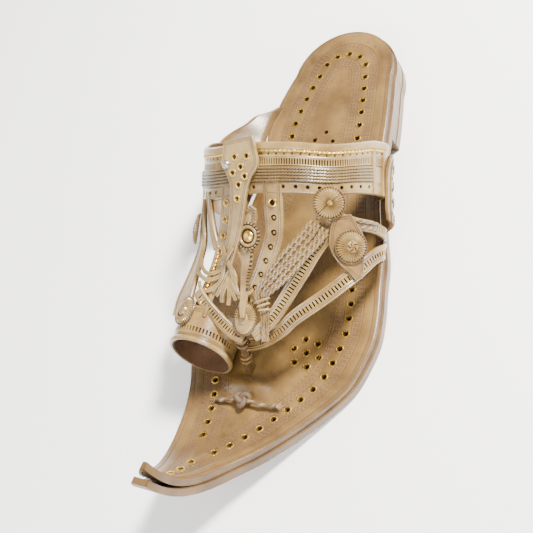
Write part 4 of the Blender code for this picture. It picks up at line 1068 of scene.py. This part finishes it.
def toe_ring():
    """The cuff round the big toe."""
    long = 2 * np.pi * (RING_HALF_WIDE + RING_WALL)
    wide = RING_FRONT - RING_REAR
    made = sheet(long, wide, 0.5, 0.45)

    def place(x, y, lift):
        turn = 2 * np.pi * x / long - np.pi / 2
        share = y / wide + 0.5
        up = np.sin(turn)
        heel = RING_REAR + wide * share + RING_LEAN * (1 - up) / 2 * share
        across = RING_X + (RING_HALF_WIDE + lift) * np.cos(turn)
        high = RING_Z + (RING_HALF_HIGH + lift) * up
        floor = seat(heel, 0.0)[..., 2] + GAP + 0.1 + (RING_WALL - np.minimum(lift, RING_WALL))
        return np.stack([across, HEEL_BACK - heel, np.maximum(high, floor)], -1)

    slots = [(x, across, 0.5, 1.3, SQUARE) for across in (3.2,) for x in np.arange(long * 0.27, long * 0.73, 2.0)]
    pierce(made, slots)

    def relief(x, y):
        front = wide / 2 - y
        rear = y + wide / 2
        lift = RING_WALL - 0.25 + 1.0 * ridge(front, 1.3, 1.4) + 0.3 * ridge(rear, 0.8, 0.6)
        groove = ridge(front, 3.0, 0.4) + ridge(front, 3.9, 0.35) + ridge(rear, 2.0, 0.35) + ridge(rear, 3.2, 0.35)
        # painted shade in the grooves
        return lift - 0.12 * groove, np.clip(0.75 * groove, 0, 1)

    walled(made, place, relief, 0.9)
    dress("toe_ring_cuff", made, PALE_STRAP, "upper")
    inside = sheet(long, wide - 0.8, 1.4, 1.4)
    # near-black inside: painted shade within the cuff and behind its slots
    walled(inside, place, lambda x, y: (np.full_like(x, 0.86), np.ones_like(x)), 0.0)
    dress("toe_ring_lining", inside, PAINTED_SHADE_LINING, "upper")


def post():
    """The thong between the toes, wrapped in leather."""
    ends = [np.array([x, HEEL_BACK - heel, z]) for x, heel, z in (POST_TOP, POST_FOOT)]
    share = np.linspace(0, 1, 40)[:, None]
    path = ends[0] * (1 - share) + ends[1] * share
    normals = np.tile((0.0, -1.0, 0.3), (40, 1))
    made = rope(path, normals, 2.7, 0.5, 18, 1, 6.0, 0.9)
    dress("post_wrap", made, PALE_STRAP, "upper")
    ahead = unit(path[-1] - path[0])
    bands = [stand(path[i], ahead + np.array((0.12, 0.0, 0.05)), np.array((1.0, 0.0, 0.0))) for i in (6, 11, 23, 27)]
    copies("post_bands", hoop(2.9, 0.75, 24, 8, 1.2), bands, FLAP_LEATHER)


# Ornaments

def ornament(name, node, rows, thick, finish, cell=0.35, relief=None, holes=(), more=0.0):
    path = Strap(rows, more)
    made = sheet(path.long, path.wide, cell, cell)
    if holes:
        pierce(made, holes(path))

    def top(x, y):
        width = path.at(x, path.width)
        near = (path.wide / 2 - np.abs(y)) * width / path.wide
        near = np.minimum(near, np.minimum(x, path.long - x) + 0.2)
        lift = thick - 0.35 * np.clip(1 - near / 0.5, 0, 1) ** 2
        more_lift, painted_shade_and_dark_lines = relief(x, y, near, path) if relief else (0.0, np.zeros_like(x))
        return lift + more_lift, painted_shade_and_dark_lines

    walled(made, path.place, top, 0.0)
    dress(name, made, finish, node)
    return path


def tongue():
    def holes(path):
        found = []
        for share, across in TONGUE_HOLES:
            x = share * path.long
            grow = path.wide / float(path.at(x, path.width))
            found.append((x, across * path.wide, 1.4, 1.4 * grow, ROUND))
        return found

    def relief(x, y, near, path):
        # the tooled lines are sunk and given painted shade
        lines = ridge(near, 1.0, 0.35) + ridge(near, 2.0, 0.35)
        return -0.14 * lines, 0.7 * lines

    path = ornament("tongue_leather", "tongue", TONGUE, TONGUE_THICK, PALE_STRAP, relief=relief, holes=holes)
    rims = [path.spot(s * path.long, a * path.wide, TONGUE_THICK) for s, a in TONGUE_HOLES]
    copies("tongue_eyelets", hoop(1.75, 0.55, 20, 8, 0.8), rims, BRASS)
    stud = turned(((0, 2.0), (0.9, 1.85), (1.6, 1.45), (2.2, 0.8), (2.4, 0.0), (0, 0)), 20)
    spot = path.spot(0.2 * path.long, -0.34 * path.wide, TONGUE_THICK + GAP)
    dress("stud_dome", moved(set_painted_shade(stud, 0.0), spot), STEEL, "stud")


def moved(made, spot):
    bmesh.ops.transform(made, matrix=spot, verts=made.verts)
    return made


# Curled strips of the tassel beside the model's own: heel, turn, lift and width
TASSEL_CURLS = (
    ((181, 101.9, 2.8, 2.4), (186, 106, 3.6, 2.4), (188, 113, 4.6, 2.4), (185.5, 120, 5.0, 2.2), (182, 124, 4.2, 2.0)),
    ((180, 102.5, 3.2, 2.2), (184, 108, 4.2, 2.2), (184.5, 114, 5.2, 2.2), (181, 119, 5.2, 2.0), (177, 121, 4.4, 1.8)),
    ((182, 101, 3.4, 2.2), (189, 105, 4.0, 2.2), (193.5, 110.5, 5.0, 2.2), (193, 116.5, 5.6, 2.0), (189, 120, 5.0, 1.8)),
    ((183, 99, 3.6, 2.0), (189, 97.5, 4.2, 2.0), (193, 94.0, 4.6, 2.0), (193.5, 90.8, 4.4, 1.8), (190.5, 88.6, 3.8, 1.6)),
    ((171, 103.6, 6.8, 2.4), (176, 101.2, 7.2, 2.6), (181, 98.6, 5.4, 2.6), (187, 96.6, 4.2, 2.2), (196, 92.4, 4.2, 1.8)),
    ((171, 97.6, 6.8, 2.4), (176, 99.8, 7.6, 2.6), (181, 102.2, 5.8, 2.6), (187, 103.4, 4.8, 2.2), (194, 108.4, 4.4, 1.8)),
)


def tassel():
    for k, (tip_heel, tip_turn, tip_lift) in enumerate(TASSEL_TIPS):
        sway = 1.6 * (-1) ** k
        rows = (
            (180.0 + 0.7 * k, 100.6 - 0.4 * k, 2.5 + 0.1 * k, 3.4),
            (187.0, (100.0 + tip_turn) / 2 + 0.4 * sway, 3.0, 3.0),
            (0.4 * 187.0 + 0.6 * tip_heel, tip_turn * 0.8 + 20 - 0.3 * sway, 3.3 + 0.2 * k, 2.8),
            (tip_heel, tip_turn, tip_lift, 2.2),
        )
        ornament(f"tassel_strand_{k}", "tassel", rows, TASSEL_THICK, PALE_STRAP, relief=strand_lines)
    for k, rows in enumerate(TASSEL_CURLS):
        ornament(f"tassel_curl_{k}", "tassel", rows, 1.1, PALE_STRAP, relief=strand_lines)


def strand_lines(x, y, near, path):
    # the middle line is sunk and given painted shade
    line = ridge(y, 0.0, 0.3)
    return -0.15 * line, 0.5 * line


def tulip():
    def relief(x, y, near, path):
        body = 1 - step_up(x / path.long, 0.4, 0.1)
        serrated = ridge(near, 0.7, 0.9) * (np.sin(x * 2 * np.pi / 1.5) > 0) * body
        hollow = ridge(near, 3.0, 1.4) * body
        # the sunk hollow round the dome gets painted shade; the raised serrated edge is darkened as well
        return -0.35 * hollow + 0.25 * serrated, np.clip(0.9 * serrated + 0.6 * hollow, 0, 1)

    path = ornament("tulip_leather", "tulip", TULIP, TULIP_THICK, PALE_STRAP, relief=relief)
    dome_x, dome_y = 0.27 * path.long, 0.22 * path.wide
    middle = path.spot(dome_x, dome_y, TULIP_THICK)
    piece("tulip_loop", moved(hoop(5.0, 0.9, 40, 10, 0.9), middle @ Matrix.Translation((0, 0, 0.5))), PALE_STRAP)
    # near-black disc in the hollow round the dome: painted shade
    hollow_shade_disc = turned(((0, 0.15), (4.4, 0.15), (4.6, 0.0), (0, 0.0)), 32)
    piece("tulip_hollow_shade", moved(set_painted_shade(hollow_shade_disc, 0.0), middle), SHADE_AND_DARK_EDGE)
    # near-black ring under the teeth round the loop: the dark serrated edge, with painted shade in the gaps between the
    # teeth
    piece("tulip_dark_rim", moved(hoop(6.7, 0.75, 40, 8, 0.9), middle @ Matrix.Translation((0, 0, 0.2))), SHADE_AND_DARK_EDGE)
    tooth = bmesh.new()
    bmesh.ops.create_cone(tooth, cap_ends=True, segments=4, radius1=0.85, radius2=0.45, depth=1.3)
    round_teeth = [
        middle @ Matrix.Translation((0, 0, 0.6)) @ Matrix.Rotation(a, 4, "Z") @ Matrix.Translation((6.9, 0, 0))
        for a in np.linspace(0, 2 * math.pi, 23)[:-1]
    ]
    down = np.arange(0.36 * path.long, 0.74 * path.long, 1.9)
    side_teeth = [path.spot(x, 0.5 * path.wide, TULIP_THICK + 0.3) for x in down]
    copies("tulip_teeth", tooth, round_teeth + side_teeth, PALE_STRAP)
    # near-black cord down the side under the teeth: the dark edge, with painted shade between the teeth
    xs = np.linspace(0.3 * path.long, 0.76 * path.long, 60)
    points = path.place(xs, np.full_like(xs, 0.46 * path.wide), TULIP_THICK)
    dark = rope(points, path.at(xs, path.normal), 0.6, 0.6, 8, 0)
    piece("tulip_dark_side", dark, SHADE_AND_DARK_EDGE)
    dome = turned(((0, 1.35), (0.8, 1.3), (1.7, 1.1), (2.5, 0.7), (3.1, 0.15), (3.2, 0.0), (0, 0)), 28)
    spot = path.spot(0.27 * path.long, 0.22 * path.wide, TULIP_THICK + GAP)
    dress("dome", moved(dome, spot), BRASS, "brass_dome")


def leaf():
    def relief(x, y, near, path):
        # the tooled lines are sunk and given painted shade
        lines = ridge(near, 1.0, 0.35) + ridge(near, 2.1, 0.35)
        return -0.14 * lines, 0.75 * lines

    ornament("leaf_leather", "leaf_plate", LEAF, LEAF_THICK, FLAP_LEATHER, relief=relief)


def cords():
    """Five waxed cords side by side, bound at their narrow end."""
    path = Strap(CORDS)
    xs = np.linspace(0, path.long, 200)
    for k in range(5):
        across = (k - 2) / 5 * path.at(xs, path.width) + 0.25 * np.sin(xs / 5.0 + 2.1 * k)
        radius = np.clip(path.at(xs, path.width) / 8.2, 0.55, 1.5)
        points = path.at(xs, path.centre) + path.at(xs, path.side) * across[:, None]
        points = points + path.at(xs, path.normal) * (radius + 0.55)[:, None]
        dress(f"cord_{k}", rope(points, path.at(xs, path.normal), radius, 0.45, 10, 3, 11.0, 0.78), WAXED_CORD, "cord_bundle")
    for k, share in enumerate((0.70, 0.735, 0.77)):
        x = share * path.long
        wide = float(path.at(x, path.width)) / 2 + 0.6
        wrap = hoop(1.0, 0.22, 26, 8)
        spot = path.spot(x, 0.0, 1.6) @ Matrix.Rotation(math.pi / 2, 4, "Y") @ Matrix.Diagonal((1.9, wide, 2.6, 1))
        dress(f"cord_wrap_{k}", moved(wrap, spot), WAXED_CORD, "cord_bundle")


def rosette(name, point, normal, ahead, along_radius, across_radius, kind, pleats=34, button=0.3):
    """A pleated leather rosette with a fringed rim. `kind` is its slit: halves, pinwheel, arch or half_pleats."""
    profile = [(0, 1.0), *((share, 1.0) for share in np.linspace(0.06, 1.0, 22)), (1.0, -0.6), (0.6, -0.6), (0, -0.6)]
    made = turned(profile, pleats * 4)
    layer = made.verts.layers.float.new("painted_shade_and_dark_lines")
    for v in made.verts:
        share, angle = math.hypot(v.co.x, v.co.y), math.atan2(v.co.y, v.co.x)
        if v.co.z < -0.3:
            v.co.z = 0.0
            continue
        wave = math.cos(angle * pleats)
        fold = float(step_up(np.array(share), button, 0.08))
        slit = 0.0
        if kind == "halves":
            slit = 0.5 * max(0.0, 1 - (abs(v.co.x * 0.77 + v.co.y * 0.64) / 0.06) ** 2)
        elif kind == "pinwheel":
            turn = (angle * 5 / (2 * math.pi) + share * 3) % 1.0
            slit = max(0.0, 1 - (abs(turn - 0.5) / 0.16) ** 2) * (share < button) * min(share * 9, 1)
        elif kind == "arch":
            arc = max(0.0, 1 - (abs(share - 0.46) / 0.06) ** 2)
            slit = arc * (math.cos(angle) > -0.35)
            fold *= share > 0.74
        elif kind == "half_pleats":
            fold *= math.cos(angle) < 0.15
        valley = max(-wave, 0.0) ** 2 * fold
        rim = max(0.0, (share - 0.86) / 0.14)
        # painted shade in the pleat valleys and the slit; darker towards the rim
        v[layer] = min(0.62 * valley + 0.9 * slit + 0.45 * rim**2, 1.0)
        v.co.z = 1.3 + 1.3 * (1 - share**2) + 0.6 * (1 - fold) * (share < button + 0.06)
        v.co.z += 0.26 * wave * fold - 0.8 * slit - 1.3 * rim**2
        if share > 0.8:
            reach = 1 - 0.06 * (0.5 - 0.5 * wave)
            v.co.x *= reach
            v.co.y *= reach
    bmesh.ops.scale(made, verts=made.verts, vec=(along_radius, across_radius, 1.0))
    dress(name + "_leather", moved(made, stand(point, normal, ahead)), PALE_STRAP, name)
    cord = fringe_cord(point, normal, ahead, along_radius, across_radius)
    dress(name + "_rim", cord, EDGE_LEATHER, name)


def fringe_cord(point, normal, ahead, along_radius, across_radius):
    """The dark scalloped cord that edges a rosette."""
    place = np.array(stand(point, normal, ahead))
    turn = np.linspace(0, 2 * np.pi, 90)
    ring = np.stack([along_radius * 0.99 * np.cos(turn), across_radius * 0.99 * np.sin(turn), 0 * turn + 0.55], -1)
    path = ring @ place[:3, :3].T + place[:3, 3]
    return rope(path, np.tile(place[:3, 2], (90, 1)), 0.55, 0.45, 6, 2, 2.6, 0.6)


ROSETTES = (
    ("rosette_band", 144.0, 54.0, 5.0, 8.4, 8.4, "halves"),
    ("rosette_leaf", 160.0, 41.0, 5.2, 8.6, 8.6, "pinwheel"),
    ("rosette_inner", 157.0, 146.0, 3.0, 9.0, 7.0, "pinwheel"),
    ("rosette_post", 206.0, 90.0, 3.1, 9.0, 6.8, "half_pleats"),
)


def rosettes():
    for name, heel, turn, lift, along_radius, across_radius, kind in ROSETTES:
        ahead = last(turn, heel + 2.0) - last(turn, heel - 2.0)
        button = 0.12 if kind == "halves" else 0.3
        point, normal = last(turn, heel, lift), last_normal(turn, heel)
        rosette(name, point, normal, ahead, along_radius, across_radius, kind, 34, button)
    turn = math.radians(112)
    normal = np.array([math.cos(turn), 0.0, math.sin(turn)])
    spot = np.array([RING_X, HEEL_BACK - 207.0, RING_Z]) + normal * (RING_HALF_HIGH + RING_WALL + 0.4)
    rosette("rosette_ring", spot, normal, np.array([0.0, -1.0, 0.0]), 8.2, 7.6, "arch")


# Side flaps

def flap(name, side):
    rows = FLAP_TOPS[side]
    first, final = rows[0][0], rows[-1][0]
    made = sheet(final - first, 1.0, 0.6, 1.0 / 44)
    low = GAP + 0.1

    def place(x, y, lift):
        heel, share = first + x, y + 0.5
        high = low + share * (smooth(rows, heel, 1) - low)
        return flank(side, heel, high, smooth(rows, heel, 2) + lift)

    def relief(x, y):
        share = y + 0.5
        lift = 1.5 + 0.7 * step_up(share, 0.71, 0.02) * (1 - step_up(share, 0.86, 0.02))
        lift += 0.3 * step_up(share, 0.3, 0.03) * (1 - step_up(share, 0.5, 0.03))
        lines = sum(ridge(share, middle, 0.018) for middle in (0.1, 0.2, 0.3, 0.5, 0.6, 0.7, 0.78, 0.87, 0.95))
        # painted shade in the lines between the strips
        return lift - 0.12 * lines, np.clip(0.7 * lines, 0, 1)

    walled(made, place, relief, 0.0)
    dress(name + "_strips", made, FLAP_LEATHER, name)
    # dark discs along the flap where its holes are: painted shade of holes that are not cut
    holes = []
    for x in np.arange(10.0, final - first - 3, 6.5):
        point = place(np.array(x), np.array(0.29), 2.25)
        ahead = place(np.array(x + 1), np.array(0.29), 2.25) - place(np.array(x - 1), np.array(0.29), 2.25)
        up = place(np.array(x), np.array(0.31), 2.25) - place(np.array(x), np.array(0.27), 2.25)
        normal = np.cross(ahead, up)
        holes.append(stand(point, normal if normal[0] * (1 if side == 1 else -1) > 0 else -normal, ahead))
    copies(name + "_hole_shades", turned(((0, 0.1), (0.9, 0.1), (1.0, 0.0), (0, 0.0)), 10), holes, SHADE_AND_DARK_EDGE)
    for k in range(TAB_COUNT):
        middle = TAB_FIRST + TAB_PITCH * k
        tab = sheet(1.0, 1.0, 1.0 / 20, 1.0 / 26)
        lift_at = float(smooth(rows, middle, 2))

        def tab_place(x, y, lift, middle=middle, lift_at=lift_at):
            share = y + 0.5
            arch = np.sqrt(np.clip(1 - np.clip((share - 0.55) / 0.45, 0, 1) ** 2.2, 0.02, 1))
            heel = middle + (x - 0.5) * TAB_WIDE * arch
            return flank(side, heel, 0.7 + share * (TAB_HIGH - 0.7), lift_at + lift)

        def tab_top(x, y):
            share = y + 0.5
            near = np.minimum(0.5 - np.abs(x - 0.5), (1 - share) * 1.4) * TAB_WIDE
            line = ridge(near, 0.9, 0.35)
            # painted shade in the groove line
            return FLAP_THICK + TAB_THICK - 0.5 * np.clip(1 - near / 0.7, 0, 1) ** 2 - 0.1 * line, 0.6 * line

        walled(tab, tab_place, tab_top, FLAP_THICK + 0.1)
        bmesh.ops.remove_doubles(tab, verts=tab.verts, dist=0.01)
        dress(f"{name}_tab_{k}", tab, PALE_STRAP, name)


def small_tab():
    made = sheet(10.0, 4.7, 0.4, 0.4)

    def place(x, y, lift):
        return flank(1, 137.5 + x, y + 2.85, 3.0 + lift)

    def relief(x, y):
        near = np.minimum(np.minimum(x, 10 - x), 2.35 - np.abs(y))
        line = ridge(near, 0.9, 0.35)
        # painted shade in the groove line
        return 1.8 - 0.3 * np.clip(1 - near / 0.5, 0, 1) ** 2 - 0.12 * line, 0.6 * line

    walled(made, place, relief, 0.0)
    dress("sole_tab_leather", made, FLAP_LEATHER, "sole_tab")


# Knot of the toe strap on the insole

KNOT_ENDS = (((0, 0, 4.2), (8, 1, 3.8), (15, 1, 2.6), (21, 0, 3.4)), ((0, 0, 4.2), (-9, 2, 3.2), (-17, 3, 2.0)))
FRAY_TURNS = (-34, -16, 2, 18, 36)


def knot():
    """An overhand knot of raw thong with two frayed ends."""
    middle = seat(KNOT_HEEL, KNOT_X, KNOT_LIFT)
    t = np.linspace(0, 2 * np.pi, 180)
    reach = (KNOT_RADIUS - 1.4) / 3
    path = middle + np.stack([
        reach * (np.sin(t) + 2 * np.sin(2 * t)), reach * (np.cos(t) - 2 * np.cos(2 * t)), 2.3 - 1.0 * np.sin(3 * t),
    ], -1)
    up = np.tile((0.0, 0.0, 1.0), (len(path), 1))
    dress("knot_thong", rope(path, up, 1.75, 0.5, 14, 1, 9.0, 0.86), RAW_LEATHER, "toe_knot")
    for k, reach in enumerate(KNOT_ENDS):
        rows = [(i, *seat(KNOT_HEEL + dy, KNOT_X + dx, lift - 0.3)) for i, (dx, dy, lift) in enumerate(reach)]
        at = np.linspace(0, len(rows) - 1, 50)
        points = np.stack([smooth(rows, at, column) for column in (1, 2, 3)], -1)
        up = np.tile((0.0, 0.0, 1.0), (50, 1))
        radius = 1.25 + 0.2 * np.sin(at * 5.0)
        dress(f"knot_end_{k}", rope(points, up, radius, 0.5, 12, 1, 7.0, 0.84), RAW_LEATHER, "toe_knot")
        ahead = unit(points[-1] - points[-6])
        for n, turn in enumerate(FRAY_TURNS):
            a = math.radians(turn)
            way = np.array([ahead[0] * math.cos(a) - ahead[1] * math.sin(a), ahead[0] * math.sin(a) + ahead[1] * math.cos(a), -0.12])
            fibre = points[-3] + np.linspace(0, 3.6 + 0.5 * (n % 3), 10)[:, None] * way
            thin = rope(fibre, np.tile((0.0, 0.0, 1.0), (10, 1)), np.linspace(0.42, 0.16, 10), 0.6, 6, 0)
            dress(f"knot_fray_{k}_{n}", thin, RAW_LEATHER, "toe_knot")


# Camera, light and floor

EYE = np.array([241.3, -296.9, 436.3])
LOOK, IMAGE_RIGHT, IMAGE_DOWN = (-0.335, 0.371, -0.866), (0.936, 0.236, -0.261), (0.107, -0.898, -0.426)
PHOTO_SIZE, PHOTO_FOCAL, MIDDLE_PIXEL = 533.0, 720.0, 266.5
SHOE_PIXEL, ZOOM, SENSOR = (140.0, 262.0), 1.25, 36.0


def camera():
    """The photograph's eye, turned towards the one shoe and closer by the lens."""
    look, right, down = (np.array(v) for v in (LOOK, IMAGE_RIGHT, IMAGE_DOWN))
    across, below = ((pixel - MIDDLE_PIXEL) / PHOTO_FOCAL for pixel in SHOE_PIXEL)
    look = unit(look + right * across + down * below)
    right = unit(right - look * np.dot(right, look))
    down = np.cross(look, right)
    turn = Matrix([[float(right[i]), float(-down[i]), float(-look[i])] for i in range(3)])
    lens = bpy.data.cameras.new("photo_view")
    lens.sensor_width = SENSOR
    lens.lens = PHOTO_FOCAL / PHOTO_SIZE * SENSOR * ZOOM
    lens.clip_start = 0.01
    eye = bpy.data.objects.new("photo_view", lens)
    eye.matrix_world = Matrix.Translation(Vector(EYE * MM)) @ turn.to_4x4()
    bpy.context.scene.collection.objects.link(eye)
    bpy.context.scene.camera = eye


def lamp(name, place, aim, size, watts, colour=(1.0, 1.0, 1.0)):
    light = bpy.data.lights.new(name, "AREA")
    light.size, light.energy, light.color = size, watts, colour
    obj = bpy.data.objects.new(name, light)
    obj.location = place
    obj.rotation_euler = (Vector(aim) - Vector(place)).to_track_quat("-Z", "Y").to_euler()
    bpy.context.scene.collection.objects.link(obj)


def studio():
    made, tree, shader = base("floor_paper", 0.9)
    shader.inputs["Base Color"].default_value = rgb((1.0, 1.0, 1.0))
    floor = bmesh.new()
    bmesh.ops.create_grid(floor, x_segments=1, y_segments=1, size=4.0)
    mesh = bpy.data.meshes.new("floor")
    floor.to_mesh(mesh)
    floor.free()
    mesh.materials.append(made)
    obj = bpy.data.objects.new("floor", mesh)
    obj.location.z = -0.0005
    bpy.context.scene.collection.objects.link(obj)
    world = bpy.data.worlds.new("studio")
    world.use_nodes = True
    world.node_tree.nodes["Background"].inputs["Color"].default_value = rgb((1.0, 0.98, 0.95))
    world.node_tree.nodes["Background"].inputs["Strength"].default_value = 0.5
    bpy.context.scene.world = world
    lamp("key", (0.5, 0.45, 0.9), (0.0, -0.1, 0.0), 0.22, 62.0, (1.0, 0.97, 0.91))
    lamp("fill", (-0.8, -0.5, 0.7), (0.0, -0.1, 0.0), 0.9, 5.0)
    lamp("front", (0.2, -0.9, 0.6), (0.0, -0.1, 0.0), 0.5, 12.0)


camera()
studio()
sole()
insole()
band()
straps()
toe_ring()
post()
tongue()
tassel()
tulip()
leaf()
cords()
rosettes()
flap("side_flap_outer", 1)
flap("side_flap_inner", 2)
small_tab()
knot()
